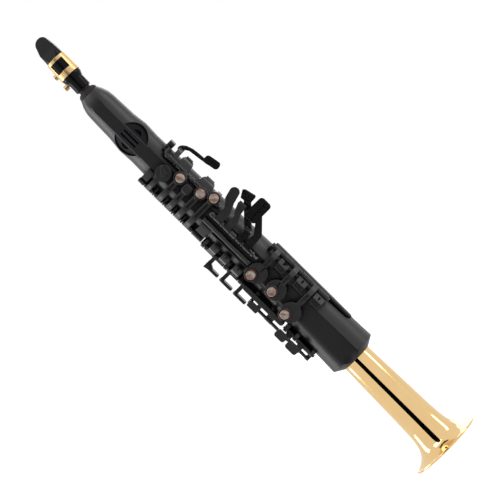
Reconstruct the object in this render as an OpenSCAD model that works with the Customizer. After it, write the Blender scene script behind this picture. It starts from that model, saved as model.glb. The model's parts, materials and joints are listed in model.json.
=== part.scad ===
// Straight digital saxophone: a housing with a full key layout on hinge rods,
// a brass bell that it stands on and a mouthpiece on a cork tenon.
// Z is up along the instrument, the bell rim lies on z = 0 and -Y is the key side.
// Heights are measured from the rim unless a comment says otherwise.

/* [Housing] */
// Height of the housing's lower end
foot_z = 154; // [150:0.5:158]
// Length of the housing up to the neck
housing_len = 456; // [452:1:462]
// Width at the lower end
foot_w = 64.4; // [62:0.2:67]
// Width at the middle of the instrument
waist_w = 53; // [51:0.2:55]
// Width below the speaker
chest_w = 44.6; // [43:0.2:46]
// Width at the shoulder
shoulder_w = 39.6; // [38:0.2:41]
// Depth of the front half at the lower end
foot_front = 27.5; // [26.5:0.1:28.5]
// Depth of the front half at the shoulder
top_front = 21.6; // [21:0.1:22.5]
// Depth of the rear half at the lower end
foot_back = 28; // [27:0.1:29]
// Depth of the rear half at the shoulder
top_back = 21; // [20:0.1:22]
// Width of the flat front panel at the lower end
foot_panel = 26; // [24:0.2:28]
// Width of the flat front panel at the shoulder
top_panel = 14.4; // [13:0.2:16]
// Wall thickness
wall = 2.4; // [2:0.1:2.8]
// Rise of the arch cut into the lower front
arch_rise = 6.5; // [3:0.5:8]

/* [Speaker] */
// Height of the speaker's centre
speaker_z = 535; // [531:0.5:538]
// Diameter of the speaker's round front
speaker_d = 41; // [38:0.5:43]
// How far the housing swells at each side of the speaker
speaker_swell = 1.6; // [0.8:0.1:2.2]
// Width of a sound slot
slot_w = 2.4; // [1.6:0.1:3]
// Length of a sound slot
slot_len = 25; // [20:0.5:28]
// Distance between the slots' centre lines
slot_pitch = 5.6; // [4.6:0.1:6.2]

/* [Bell] */
// Outer diameter of the bell's rim
rim_d = 96.5; // [92:0.5:100]
// Outer diameter of the pipe where it enters the housing
pipe_d = 39.1; // [37.5:0.1:39.8]
// Thickness of the brass
brass_t = 1.1; // [0.9:0.1:1.4]
// Diameter of the rolled bead at the rim
bead_d = 3.2; // [2.6:0.2:4]
// Length of the pipe inside the housing
bell_spigot = 16; // [12:1:19]

/* [Mouthpiece] */
// Backward tilt of the mouthpiece
neck_tilt = 9; // [6:0.5:12]
// Length of the mouthpiece
mouthpiece_len = 84; // [80:0.5:87]
// Outer diameter of its shank
shank_d = 20.9; // [20.2:0.1:21.6]
// Outer diameter of its body above the shank
barrel_d = 26; // [25:0.1:26.6]
// Outer diameter of the cork
cork_d = 15.8; // [15:0.1:16.4]
// Length of the cork
cork_len = 26; // [24:0.5:28]
// How far the mouthpiece can be pulled out to tune
tune_travel = 10; // [6:0.5:12]
// Width of the ligature band along the mouthpiece
ligature_w = 25; // [22:0.5:27]
// Thickness of the ligature band
ligature_t = 1.2; // [0.9:0.1:1.6]
// Width of the reed
reed_w = 15.6; // [14:0.1:16.4]
// Diameter of a ligature screw's head
ligature_head_d = 7.4; // [6.4:0.2:8.2]

/* [Keys] */
// Diameter of the hinge rods
rod_d = 2.4; // [2:0.1:2.6]
// Wall of a hinge barrel
barrel_wall = 1.7; // [1.3:0.1:1.9]
// Radial play of a barrel on its rod
rod_play = 0.05; // [0.03:0.01:0.09]
// Gap between the ends of neighbouring barrels and posts
end_gap = 0.5; // [0.35:0.05:0.7]
// Thickness of a key's arm
arm_t = 3; // [2.6:0.1:3.4]
// Height of a stack arm along the rod
arm_w = 7.6; // [6.6:0.2:8.2]
// Gap under the stack arms
key_lift = 4.6; // [4.2:0.1:5.2]
// Diameter of a pearl touch
pearl_d = 11.6; // [11:0.1:12.4]
// Width of the ring round a pearl
pearl_rim = 2.4; // [1.8:0.1:2.6]
// Diameter of a lower stack cup
cup_d = 26; // [24:0.5:27]
// Stand-off of the left rod from the housing's side
left_rod_out = 3.2; // [2.8:0.1:3.8]
// Stand-off of the lower right rod from the housing's side
right_rod_out = 0.6; // [0.2:0.1:1]
// Height of the pinky table's rod over the front panel
pinky_rod_up = 6.2; // [5.8:0.1:6.8]
// Height of the palm keys' rod over the front panel
palm_rod_up = 3.6; // [3.2:0.1:4.2]

/* [Fittings] */
// Diameter of the strap ring's opening
strap_ring_d = 9; // [8:0.2:10]
// Diameter of the strap ring's wire
strap_wire_d = 3; // [2.6:0.1:3.4]
// Travel of the sliding thumb hook
hook_travel = 8; // [5:0.5:9]
// Width of the thumb hook
hook_w = 16; // [14:0.5:18]
// Diameter of a button
button_d = 6; // [5:0.2:6.6]
// Travel of a button
button_travel = 0.8; // [0.6:0.1:1]
// Bore of a 3.5 mm jack socket
jack_d = 3.6; // [3.5:0.02:3.7]
// Depth of a jack socket
jack_depth = 13; // [11:0.5:13.5]
// Diameter of a battery cell
cell_d = 10.5; // [10:0.1:10.6]
// Length of a battery cell
cell_len = 44.5; // [44:0.1:45]
// Gap round the battery cover
cover_gap = 0.35; // [0.3:0.05:0.45]
// Diameter of a shell screw's head
screw_d = 5; // [4:0.2:5.6]

/* [Hidden] */
$fn = 64;
eps = 0.01;

// Heights of the housing's sections
chamfer_h = 6.8;
top_z = foot_z + housing_len;
heel_z = foot_z + chamfer_h;
waist_z = foot_z + 172;
chest_z = foot_z + 358;
shoulder_z = top_z - 22;
neck_r = 13;
mouth_r = pipe_d / 2 + 1;
collar_h = 6;
neck_z = top_z + collar_h;
shoulder_inset = 1.2;

// Half widths, depths and panel half widths against height
half_widths = [[foot_z, mouth_r], [heel_z, foot_w / 2], [waist_z, waist_w / 2], [chest_z, chest_w / 2],
    [shoulder_z, shoulder_w / 2], [top_z - 15, shoulder_w / 2 - 0.8], [top_z - 7.5, shoulder_w / 2 - 3.1],
    [top_z, neck_r]];
front_depths = [[foot_z, mouth_r], [heel_z, foot_front], [chest_z, top_front],
    [shoulder_z, top_front - shoulder_inset], [top_z - 15, top_front - 2.2],
    [top_z - 7.5, top_front - 4.8], [top_z, neck_r]];
back_depths = [[foot_z, mouth_r], [heel_z, foot_back], [chest_z, top_back],
    [shoulder_z, top_back - shoulder_inset], [top_z - 15, top_back - 2.2],
    [top_z - 7.5, top_back - 4], [top_z, neck_r]];
panels = [[foot_z, 3], [heel_z, foot_panel / 2], [chest_z, top_panel / 2], [shoulder_z, top_panel / 2],
    [top_z - 7.5, top_panel / 2 - 2], [top_z, 2]];
front_fullness = [[foot_z, 0.94], [heel_z, 0.62], [shoulder_z, 0.62], [top_z, 0.94]];
back_fullness = [[foot_z, 0.94], [heel_z, 0.86], [shoulder_z, 0.86], [top_z, 0.94]];

swell_reach = speaker_d / 2 - 2;
function swell(z) = abs(z - speaker_z) < swell_reach
    ? speaker_swell * (1 + cos(180 * (z - speaker_z) / swell_reach)) / 2 : 0;
function half_w(z) = lookup(z, half_widths) + swell(z);
function front_d(z) = lookup(z, front_depths);
function back_d(z) = lookup(z, back_depths);
function panel(z) = lookup(z, panels);
front_slope = atan((foot_front - top_front) / (chest_z - heel_z));
back_slope = atan((foot_back - top_back) / (chest_z - heel_z));

// Section of the housing at a height, drawn inwards by inset, from the right seam to the left one
side_steps = 7;
panel_steps = 8;
function corner(a, d, p, k) = [for (i = [0:side_steps]) let (t = i / side_steps)
    [a * (1 - t * t) + p * t * t, 2 * t * (1 - t) * k * d + t * t * d]];
function half_ring(a, d, p, k, s) = let (c = corner(a, d, p, k)) concat(
    [for (q = c) [q.x, s * q.y]],
    [for (j = [1:panel_steps - 1]) [p * (1 - 2 * j / panel_steps), s * d]],
    [for (i = [side_steps:-1:0]) [-c[i].x, s * c[i].y]]);
function front_ring(z, inset) = half_ring(half_w(z) - inset, front_d(z) - inset,
    panel(z), lookup(z, front_fullness), -1);
function back_ring(z, inset) = half_ring(half_w(z) - inset, back_d(z) - inset,
    panel(z), lookup(z, back_fullness), 1);
function section(z, inset) = let (f = front_ring(z, inset), b = back_ring(z, inset), n = len(b))
    concat(f, [for (i = [n - 2:-1:1]) b[i]]);

// Heights at which the sections are taken, and the arch that lifts the heel at the front
levels = [foot_z, heel_z, waist_z, chest_z, speaker_z - swell_reach, speaker_z - swell_reach / 2,
    speaker_z, speaker_z + swell_reach / 2, speaker_z + swell_reach, shoulder_z, top_z - 15,
    top_z - 7.5, top_z];
arch_half = foot_panel / 2 + 1;
function lift(i, q) = i == 1 && q.y < 0 && abs(q.x) < arch_half
    ? arch_rise * (1 - pow(q.x / arch_half, 2)) : 0;
function at_level(ring, i, raise) = [for (q = ring) [q.x, q.y, levels[i] + lift(i, q) + (i < 2 ? raise : 0)]];
function joined(lists) = [for (l = lists) for (v = l) v];
function side_faces(rows, n) = [for (i = [0:rows - 2]) for (j = [0:n - 1])
    let (a = i * n + j, b = i * n + (j + 1) % n) each [[a, b, a + n], [b, b + n, a + n]]];
function flipped(faces, yes) = yes ? [for (f = faces) [for (i = [len(f) - 1:-1:0]) f[i]]] : faces;

// Solid outer form of the housing, also used to seat what stands on it
module housing_solid(outset = 0) {
    rings = [for (i = [0:len(levels) - 1]) at_level(section(levels[i], -outset), i, 0)];
    n = len(rings[0]);
    last = (len(levels) - 1) * n;
    polyhedron(joined(rings), concat(side_faces(len(levels), n),
        [[for (j = [n - 1:-1:0]) j]], [[for (j = [0:n - 1]) last + j]]));
}

// One half of the hollow housing as a C-shaped section carried up the levels
module half_shell(back) {
    loops = [for (i = [0:len(levels) - 1]) let (z = levels[i],
        outer = at_level(back ? back_ring(z, 0) : front_ring(z, 0), i, 0),
        inner = at_level(back ? back_ring(z, wall) : front_ring(z, wall), i, wall), m = len(inner))
        concat(outer, [for (j = [m - 1:-1:0]) inner[j]])];
    n = len(loops[0]);
    last = (len(levels) - 1) * n;
    bottom = [for (j = [0:n / 2 - 2]) each [[j, n - 1 - j, j + 1], [j + 1, n - 1 - j, n - 2 - j]]];
    top = [for (f = bottom) [last + f[2], last + f[1], last + f[0]]];
    polyhedron(joined(loops), flipped(concat(side_faces(len(levels), n), bottom, top), back));
}

// Places on the housing
module at_back(z) translate([0, back_d(z), z]) rotate([back_slope, 0, 0]) children();
module at_neck() translate([0, 0, neck_z]) rotate([-neck_tilt, 0, 0]) children();
module both_sides() {
    children();
    mirror([1, 0, 0]) children();
}
module along_y(r, y0, y1) translate([0, y1, 0]) rotate([90, 0, 0]) cylinder(r = r, h = y1 - y0);
// Block with its corners rounded in plan, centred on x and y, rising from z = 0
module block(w, d, h, r) linear_extrude(h) union() {
    square([w - 2 * r, d], center = true);
    square([w, d - 2 * r], center = true);
    for (x = [-1, 1], y = [-1, 1]) translate([x * (w / 2 - r), y * (d / 2 - r)]) circle(r);
}
// Slab lying against the housing's back: width along x, height along z, its face at y = t
module back_slab(w, h, t, r) rotate([-90, 0, 0]) block(w, h, t, r);

// Speaker openings
d_flat = panel(speaker_z) + 1.1;
d_front = front_d(speaker_z);
module d_prism(grow) translate([0, 0, speaker_z]) intersection() {
    along_y(speaker_d / 2 + grow, -d_front - 2, -3);
    translate([d_flat - grow, -d_front - 2, -speaker_d]) cube([speaker_d, d_front, speaker_d * 2]);
}
grille_t = 1.6;
grille_turn = 49;
module sound_grille() difference() {
    intersection() {
        d_prism(0);
        translate([d_flat, -d_front + wall, speaker_z - speaker_d]) rotate([0, 0, grille_turn])
            translate([-speaker_d / 2, -grille_t / 2, 0]) cube([speaker_d * 2, grille_t, speaker_d * 2]);
    }
    translate([0, 0, speaker_z]) intersection() {
        translate([d_flat - 1, 0, 0]) along_y(7, -d_front - 3, 0);
        translate([d_flat + 2.2, -d_front - 3, -10]) cube([20, d_front + 3, 20]);
    }
}
module speaker_grilles() color("#1d1c1e") both_sides() sound_grille();

module front_shell() color("#2b2a2d") difference() {
    half_shell(false);
    both_sides() d_prism(0);
    for (x = [-1, 1]) translate([x * slot_pitch / 2, -d_front - 2, speaker_z + 2]) rotate([-90, 0, 0])
        linear_extrude(wall + 6) union() {
            square([slot_w, slot_len - slot_w], center = true);
            for (y = [-1, 1]) translate([0, y * (slot_len - slot_w) / 2]) circle(d = slot_w);
        }
    translate([0, 0, foot_z - 1]) cylinder(r = pipe_d / 2 + fit, h = bell_spigot);
}

// Back openings
fit = 0.05;
cover_z = foot_z + 24;
cover_w = 46;
cover_h = 52;
cover_depth = 9;
module cover_window(gap) translate([-cover_w / 2 + gap, cover_depth + gap, cover_z + gap])
    cube([cover_w - 2 * gap, foot_back, cover_h - 2 * gap]);
port_z = foot_z + 98;
port_w = 25;
port_h = 15;
display_z = foot_z + 233;
display_w = 22;
display_h = 11;
button_z = foot_z + 219;
button_pitch = 9;
lever_z = foot_z + 258;
lever_slot_w = 9;
lever_slot_h = 12;
hook_z = foot_z + 146;
hook_screw_dz = -6;
hook_screw_r = 2;
module rear_shell() color("#2b2a2d") difference() {
    half_shell(true);
    cover_window(0);
    translate([0, 0, foot_z - 1]) cylinder(r = pipe_d / 2 + fit, h = bell_spigot);
    at_back(port_z) translate([0, -wall - 4, 0]) back_slab(port_w, port_h, wall + 6, 2);
    at_back(display_z) translate([0, -wall - 4, 0]) back_slab(display_w, display_h, wall + 6, 1);
    for (i = [-1:1]) at_back(button_z) translate([i * button_pitch, 0, 0])
        along_y(button_d / 2 + 0.25, -wall - 4, 2);
    at_back(lever_z) translate([0, -wall - 4, 0])
        back_slab(lever_slot_w, lever_slot_h, wall + 6, 1);
    at_back(hook_z) translate([0, 0, hook_screw_dz]) along_y(hook_screw_r + fit, -wall - 4, 2);
    at_screws() along_y(screw_d / 2 + fit, -screw_pocket, 2);
}
module battery_cover() color("#2b2a2d") union() {
    intersection() {
        half_shell(true);
        cover_window(cover_gap);
    }
    // Finger ribs
    for (i = [0:3]) at_back(cover_z + cover_h - 8 - 2.4 * i) translate([0, -0.4, 0])
        back_slab(14, 1.2, 1, 0.5);
}

// Neck and bell
plug_h = 5;
cork_up = 1.5;
air_bore_d = 5;
module neck_tenon() color("#232124") difference() {
    union() {
        rotate_extrude() union() {
            translate([0, top_z]) square([neck_r - collar_h, collar_h]);
            intersection() {
                translate([neck_r - collar_h, top_z]) circle(collar_h);
                translate([neck_r - collar_h, top_z]) square(collar_h + 1);
            }
            translate([0, top_z - plug_h]) square([neck_r - wall - 1, plug_h]);
        }
        at_neck() translate([0, 0, -3]) cylinder(d = cork_d, h = cork_len + cork_up + 3);
    }
    at_neck() translate([0, 0, -1]) cylinder(d = air_bore_d, h = cork_len + 10);
    translate([0, 0, top_z - plug_h - 1]) cylinder(d = air_bore_d + 1.6, h = plug_h + collar_h - 2);
}

pipe_taper = 0.029;
flare_z = 2;
rim_flat = 0.3;
flare_rate = 8.8;
flare = rim_d / 2 - bead_d / 2 - pipe_d / 2 - pipe_taper * (foot_z - flare_z);
bell_heights = concat([for (z = [flare_z:1.5:12.5]) z], [for (z = [14:3:38]) z], [for (z = [44:26:foot_z - 6]) z]);
function bell_r(z) = pipe_d / 2 + pipe_taper * (foot_z - z) + flare * exp((flare_z - z) / flare_rate);
function bell_lean(z) = pipe_taper + flare / flare_rate * exp((flare_z - z) / flare_rate);
function bell_inside(z) = let (s = bell_lean(z), n = sqrt(1 + s * s))
    [bell_r(z) - brass_t / n, z - brass_t * s / n];
bell_top = foot_z + bell_spigot;
module bell() color("#c99a4a") rotate_extrude($fn = 96) union() {
    polygon(concat([for (z = bell_heights) [bell_r(z), z]],
        [[pipe_d / 2, foot_z], [pipe_d / 2, bell_top], [pipe_d / 2 - brass_t, bell_top],
        [pipe_d / 2 - brass_t, foot_z]],
        [for (i = [len(bell_heights) - 1:-1:0]) bell_inside(bell_heights[i])]));
    // Rolled bead, worn flat where it stands
    intersection() {
        translate([rim_d / 2 - bead_d / 2, bead_d / 2 - rim_flat]) circle(d = bead_d);
        square([rim_d, bead_d]);
    }
}

// Inside
chassis_t = 2.4;
chassis_w = 25;
chassis_y = 3;
board_t = 1.6;
board_w = 28;
module inner_chassis() color("#55585c") union() {
    translate([0, 0, bell_top]) linear_extrude(3) polygon(section(bell_top + 3, wall + 0.3));
    translate([-chassis_w / 2, chassis_y, bell_top + 2]) cube([chassis_w, chassis_t, shoulder_z - bell_top]);
    // Ribs that stiffen the long plate
    for (x = [-1, 1]) translate([x * (chassis_w / 2 - 2) - 0.8, chassis_y - 3, bell_top + 2])
        cube([1.6, 3 + eps, speaker_z - speaker_d / 2 - bell_top - 6]);
}
board_low = cover_z + cover_h + 8;
module main_board() color("#1f5a3a") union() {
    translate([-board_w / 2, chassis_y + chassis_t, board_low])
        cube([board_w, board_t, speaker_z + speaker_d / 2 - board_low]);
    // Processor, amplifier, key connectors and the breath sensor
    for (part = [[0, 150, 14, 14, 1.6], [-6, 200, 7, 10, 1.4], [6, 90, 9, 6, 3], [-8, 60, 6, 18, 4],
        [0, 292, 10, 10, 6]])
        translate([part.x - part[2] / 2, chassis_y + chassis_t + board_t - eps, board_low + part.y - part[3] / 2])
            cube([part[2], part[4], part[3]]);
}
module battery_cells() color("#8d9096") for (i = [0:3])
    translate([(i - 1.5) * (cell_d + 0.2), chassis_y + chassis_t + cell_d / 2, cover_z + 3]) union() {
        cylinder(d = cell_d, h = cell_len - 1);
        cylinder(d = cell_d / 2, h = cell_len);
    }
speaker_y = -7;
module speaker_unit() color("#3a3b3e") translate([0, 0, speaker_z]) rotate([90, 0, 0]) rotate_extrude() polygon([
    [0, -chassis_y], [speaker_d / 4, -chassis_y], [speaker_d / 4, 2], [speaker_d / 2 - 5.5, -speaker_y - 2],
    [speaker_d / 2 - 3.5, -speaker_y - 2], [speaker_d / 2 - 3.5, -speaker_y],
    [speaker_d / 2 - 5.5, -speaker_y], [speaker_d / 6, 5], [0, 6.5]]);

// Hinge rods, each [x, y, lower end, upper end]
barrel_r = rod_d / 2 + rod_play + barrel_wall;
bore_r = rod_d / 2 + rod_play;
upper_low = foot_z + 234;
upper_high = foot_z + 341;
left_x = -half_w(upper_low) - left_rod_out;
left_y = -14;
upper_rod = [left_x, left_y, upper_low, upper_high];
palm_rod = [panel(foot_z + 276) + 9.4, -front_d(foot_z + 276) - palm_rod_up + 5.7, foot_z + 247, foot_z + 340];
pinky_rod = [6.4, -front_d(upper_low) - pinky_rod_up, foot_z + 172, foot_z + 251];
lower_low = foot_z + 75;
lower_high = foot_z + 171;
right_x = half_w(lower_low) + right_rod_out;
lower_rod = [right_x, -19, lower_low, lower_high];
side_rod = [-half_w(foot_z + 92) - 1.6, left_y, foot_z + 92, upper_low - 1];
low_x = -half_w(foot_z + 38) - 2.4;
low_rod = [low_x, left_y, foot_z + 38, foot_z + 90];
all_rods = [upper_rod, palm_rod, pinky_rod, lower_rod, side_rod, low_rod];
module hinge_rods() color("#9a9ca0") for (r = all_rods)
    translate([r.x, r.y, r[2]]) cylinder(d = rod_d, h = r[3] - r[2]);
module on_rod(rod, z) translate([rod.x, rod.y, z]) children();
// Posts on a rod are [height, length]; a barrel fills the stretch between the posts next to it
function below(posts, z) = max([for (p = posts) if (p[0] < z) p[0] + p[1] / 2]);
function above(posts, z) = min([for (p = posts) if (p[0] > z) p[0] - p[1] / 2]);
module barrel_solid(rod, posts, z) on_rod(rod, below(posts, z) + end_gap)
    cylinder(r = barrel_r, h = above(posts, z) - below(posts, z) - 2 * end_gap);
module rod_hole(rod, grow) on_rod(rod, rod[2] - 5) cylinder(r = grow, h = rod[3] - rod[2] + 10);

// Plan of an arm: a quarter ring from the rod round the housing's corner, then a bar across its front.
// The rod lies at the left and the bar's front face is at y = face.
module arm_plan(rod, face, reach, t) {
    r = rod.y - face - t / 2;
    intersection() {
        difference() {
            translate([rod.x + r, rod.y]) circle(r + t / 2);
            translate([rod.x + r, rod.y]) circle(r - t / 2);
        }
        translate([rod.x - t, rod.y - 2 * r]) square([r + t, 2 * r]);
    }
    translate([rod.x + r, face]) square([reach - rod.x - r, t]);
}
// Ring that holds a pearl, with its face at y = face
holder_r = pearl_d / 2 + pearl_rim;
pearl_seat = 1.3;
holder_up = 0.8;
module holder(x, z, face, r) translate([x, 0, z]) along_y(r, face - holder_up, face + arm_t);
module holder_cut(x, z, face) translate([x, 0, z]) along_y(pearl_d / 2, face - holder_up - 5, face - holder_up + pearl_seat);
module pearl(x, z, face) color("#e9e1da") translate([x, face - holder_up + pearl_seat, z]) rotate([90, 0, 0])
    rotate_extrude() intersection() {
        translate([0, pearl_seat + 0.9 - dome_r]) circle(dome_r);
        square([pearl_d / 2, pearl_seat + 2]);
    }
dome_r = 22;

function arm_face(z) = -front_d(z) - key_lift - arm_t;
// Groove along the front of an arm
module arm_groove(x0, x1, z, face) translate([x0, face - 1, z - 0.7]) cube([x1 - x0, 1.6, 1.4]);

module stack_lever(rod, posts, z, reach, w) {
    barrel_solid(rod, posts, z);
    translate([0, 0, z - w / 2]) linear_extrude(w) arm_plan(rod, arm_face(z), reach, arm_t);
}
module pearl_key(rod, posts, z, x) difference() {
    union() {
        stack_lever(rod, posts, z, x, arm_w);
        holder(x, z, arm_face(z), holder_r);
    }
    rod_hole(rod, bore_r);
    holder_cut(x, z, arm_face(z));
    arm_groove(rod.x + 18, x - holder_r - 3, z, arm_face(z));
}

// Upper stack
front_f_z = foot_z + 325;
b_z = foot_z + 306.5;
bis_z = foot_z + 291;
a_z = foot_z + 276;
g_z = foot_z + 260.4;
b_x = 11;
a_x = 15;
g_x = 22.5;
front_f_x = 0;
front_f_r = 10.4;
function between(a, b) = (a + b) / 2;
slim_post = 2.6;
upper_posts = concat([[upper_high - 5, 9], [upper_low + 8, 16]],
    [for (z = [between(front_f_z, b_z), between(b_z, bis_z), between(bis_z, a_z), between(a_z, g_z)]) [z, slim_post]]);
module front_f_key() color("#343438") difference() {
    face = arm_face(front_f_z);
    union() {
        stack_lever(upper_rod, upper_posts, front_f_z, front_f_x, 6.4);
        holder(front_f_x, front_f_z, face + 0.8, front_f_r);
        // Teardrop ridge for the finger's roll
        translate([front_f_x, face + eps, front_f_z - 1]) rotate([90, 30, 0]) linear_extrude(2.4) union() {
            circle(4.4);
            polygon([[-4.3, 0.8], [-1.4, 9.6], [1.4, 9.6], [4.3, 0.8]]);
            translate([0, 9.4]) circle(1.45);
        }
    }
    rod_hole(upper_rod, bore_r);
    arm_groove(upper_rod.x + 18, front_f_x - front_f_r - 2, front_f_z, face);
}
module b_key() color("#343438") pearl_key(upper_rod, upper_posts, b_z, b_x);
module b_pearl() pearl(b_x, b_z, arm_face(b_z));
module a_key() color("#343438") pearl_key(upper_rod, upper_posts, a_z, a_x);
module a_pearl() pearl(a_x, a_z, arm_face(a_z));
module g_key() color("#343438") pearl_key(upper_rod, upper_posts, g_z, g_x);
module g_pearl() pearl(g_x, g_z, arm_face(g_z));
module bis_key() color("#343438") difference() {
    face = arm_face(bis_z);
    union() {
        stack_lever(upper_rod, upper_posts, bis_z, 6, arm_w);
        translate([6.5, face + arm_t, bis_z]) rotate([90, 0, 0]) block(11, 11.4, arm_t + 1.2, 3);
    }
    rod_hole(upper_rod, bore_r);
    arm_groove(upper_rod.x + 18, -3, bis_z, face);
}

// Post that carries a rod: a boss round the rod on a foot that reaches down to the housing.
// The foot runs from the rod towards the point [x, y] in plan.
post_r = rod_d / 2 + 2;
module post(rod, z, len, to, w) difference() {
    union() {
        on_rod(rod, z - len / 2) cylinder(r = post_r, h = len);
        translate([0, 0, z - len / 2]) linear_extrude(len) foot_plan([rod.x, rod.y], to, w);
    }
    rod_hole(rod, rod_d / 2);
}
module foot_plan(from, to, w) translate(from) rotate(atan2(to.y - from.y, to.x - from.x))
    translate([0, -w / 2]) square([norm(to - from), w]);
// A frame is cut where the housing's surface is, so that it seats on it
module seated() difference() {
    union() children();
    housing_solid();
}

module posts_on(rod, posts, to, w) for (p = posts) post(rod, p[0], p[1], to, w);

left_aim = [-14, -6];
// Rail along a left rod, between its barrels and the housing
rail_t = 3;
module rail(rod, low, high) translate([rod.x - 1, rod.y + barrel_r + 0.8, low])
    cube([-rod.x - 12, rail_t, high - low]);
module upper_key_frame() color("#2f2f33") seated() {
    posts_on(upper_rod, upper_posts, left_aim, 5.4);
    rail(upper_rod, upper_low + 1, upper_high - 1);
    // Top block's arm over the front
    translate([0, 0, upper_high - 9.5]) linear_extrude(9)
        polygon([[left_x + 3, left_y], [left_x + 6, left_y - 9], [-14, -front_d(upper_high) - 2.4],
            [-9, -front_d(upper_high) - 2.4], [-9, -15], [-14, -8]]);
    translate([0, 0, upper_low + 1]) linear_extrude(14)
        polygon([[left_x + 3, left_y], [left_x + 6, left_y - 9], [-14, -front_d(upper_low) - 2.6],
            [-9.5, -front_d(upper_low) - 2.6], [-9.5, -15], [-14, -8]]);
}

palm_aim = [10, -8];
palm_d_z = foot_z + 313;
palm_eb_z = foot_z + 279;
palm_f_z = foot_z + 329;
palm_posts = [for (z = [foot_z + 337, palm_f_z - 6, palm_d_z - 12, palm_d_z - 19, palm_eb_z - 14, foot_z + 252])
    [z, z > palm_d_z + 8 && z < palm_f_z ? 2 : 4.4]];
module palm_key_frame() color("#2f2f33") seated() {
    posts_on(palm_rod, palm_posts, palm_aim, 4.4);
    // Square buffer block above the keys, with a screw boss before it
    translate([26, -10, foot_z + 338.2]) difference() {
        block(14, 12, 8.4, 1.5);
        for (x = [-3, 1]) translate([x, -6.5, 1.6]) cube([1.4, 2, 5.2]);
    }
    difference() {
        union() {
            translate([palm_rod.x, palm_rod.y + 1, foot_z + 339.6]) rotate([0, 90, 0]) cylinder(r = 3.2, h = 8.6);
            translate([palm_rod.x + 1, palm_rod.y + 1, foot_z + 336.4]) cube([5, 12, 6.4]);
        }
        rod_hole(palm_rod, rod_d / 2);
    }
    // Ribbed foot below them
    translate([24, -10, foot_z + 255]) difference() {
        block(8, 14, 7, 1.5);
        for (z = [1.4, 3.4]) translate([-5, -8, z]) cube([10, 2.2, 0.9]);
    }
}

pinky_aim_y = -10;
g_sharp_z = foot_z + 238.6;
c_sharp_z = foot_z + 223.4;
low_b_z = foot_z + 203.6;
low_bb_z = foot_z + 191.3;
pinky_posts = [[foot_z + 248, 4], [between(g_sharp_z, c_sharp_z), 3.4], [between(c_sharp_z, low_b_z) - 0.4, 9],
    [between(low_b_z, low_bb_z), 2], [foot_z + 180, 4]];
module pinky_key_frame() color("#2f2f33") seated() {
    posts_on(pinky_rod, pinky_posts, [pinky_rod.x, pinky_aim_y], 4.8);
    // Raised spine left of the rod
    translate([-5.6, -front_d(foot_z + 174) - 1.8, foot_z + 174])
        linear_extrude(upper_low - foot_z - 156) union() {
            translate([-3.1, 0]) square([6.2, 12]);
            translate([0, 0.4]) circle(3.1);
        }
    translate([-12.4, -front_d(foot_z + 174) - 0.6, foot_z + 174])
        cube([1.6, 8, upper_low - foot_z - 176]);
}

lower_aim = [16, -8];
guard_h = 14.6;
f_z = foot_z + 159.4;
e_z = foot_z + 129;
d_z = foot_z + 97.4;
f_x = -6;
e_x = -4.5;
d_x = -11;
lower_posts = [[lower_high - 2, 4], [between(f_z, e_z) - 0.3, guard_h], [between(e_z, d_z) - 0.2, guard_h],
    [lower_low + 9.4, guard_h]];

side_aim = [-15, -6];
side_e_z = foot_z + 204;
side_c_z = foot_z + 178;
side_bb_z = foot_z + 154;
high_fs_z = foot_z + 128;
eb_z = foot_z + 83;
c_z = foot_z + 58;
side_posts = [for (z = [229, 190.5, 166, 140, 114, 95]) [foot_z + z, 5]];
low_posts = [for (z = [86, 70, 42]) [foot_z + z, 5]];
// Guard that comes round to the front panel, with ribs cut into its face
module stack_guard(z, h) difference() {
    translate([0, 0, z - h / 2]) linear_extrude(h)
        polygon([[lower_rod.x - 3, lower_rod.y + 2], [lower_rod.x - 3, lower_rod.y - 3],
            [21, -front_d(z) - 2.4], [12.6, -front_d(z) - 2.4], [12, -16], [20, -10]]);
    for (x = [15.4, 18]) translate([x, -front_d(z) - 3, z - h / 2 + 2.4]) cube([1.1, 2, h - 4.8]);
    translate([lower_rod.x - 8, -front_d(z) - 3, z - 1]) cube([6, 6, 2]);
}
// Round guard rod outside the little finger's keys, with the plate and feet that hold it
guard_rod = [low_rod.x - 8.4, -9];
guard_rod_r = 2.1;
guard_low = foot_z + 39.5;
guard_high = foot_z + 141.8;
guard_feet = [[guard_low + 2.7, 5.4], [foot_z + 108.4, 10.3], [guard_high - 2.2, 4.4]];
plate_y = left_y - 9;
module little_finger_guard() {
    translate([guard_rod.x, guard_rod.y, guard_low]) cylinder(r = guard_rod_r, h = guard_high - guard_low);
    for (f = guard_feet) translate([0, 0, f[0] - f[1] / 2]) linear_extrude(f[1]) union() {
        translate([guard_rod.x, guard_rod.y - 1.2]) square([-guard_rod.x - 20, 3.6]);
        translate(guard_rod) circle(guard_rod_r + 0.4);
    }
    // Long plate over the side keys' barrels and the stand-offs that carry it
    translate([side_rod.x + 0.2, plate_y + 1.5, foot_z + 126]) rotate([90, 0, 0])
        block(6.2, 66, 3, 3);
    for (z = [foot_z + 95, foot_z + 114, foot_z + 140]) translate([side_rod.x - 1.6, plate_y, z - 2.5])
        cube([3.2, 7.6, 5]);
}
module lower_key_frame() color("#2f2f33") seated() {
    posts_on(lower_rod, lower_posts, lower_aim, 5);
    for (p = lower_posts) if (p[1] > 6) stack_guard(p[0], p[1]);
    posts_on(side_rod, side_posts, side_aim, 5.5);
    posts_on(low_rod, low_posts, side_aim, 5.5);
    rail(side_rod, side_rod[2] + 1, side_rod[3]);
    rail(low_rod, low_rod[2] + 1, low_rod[3] - 1);
    little_finger_guard();
}

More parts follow.
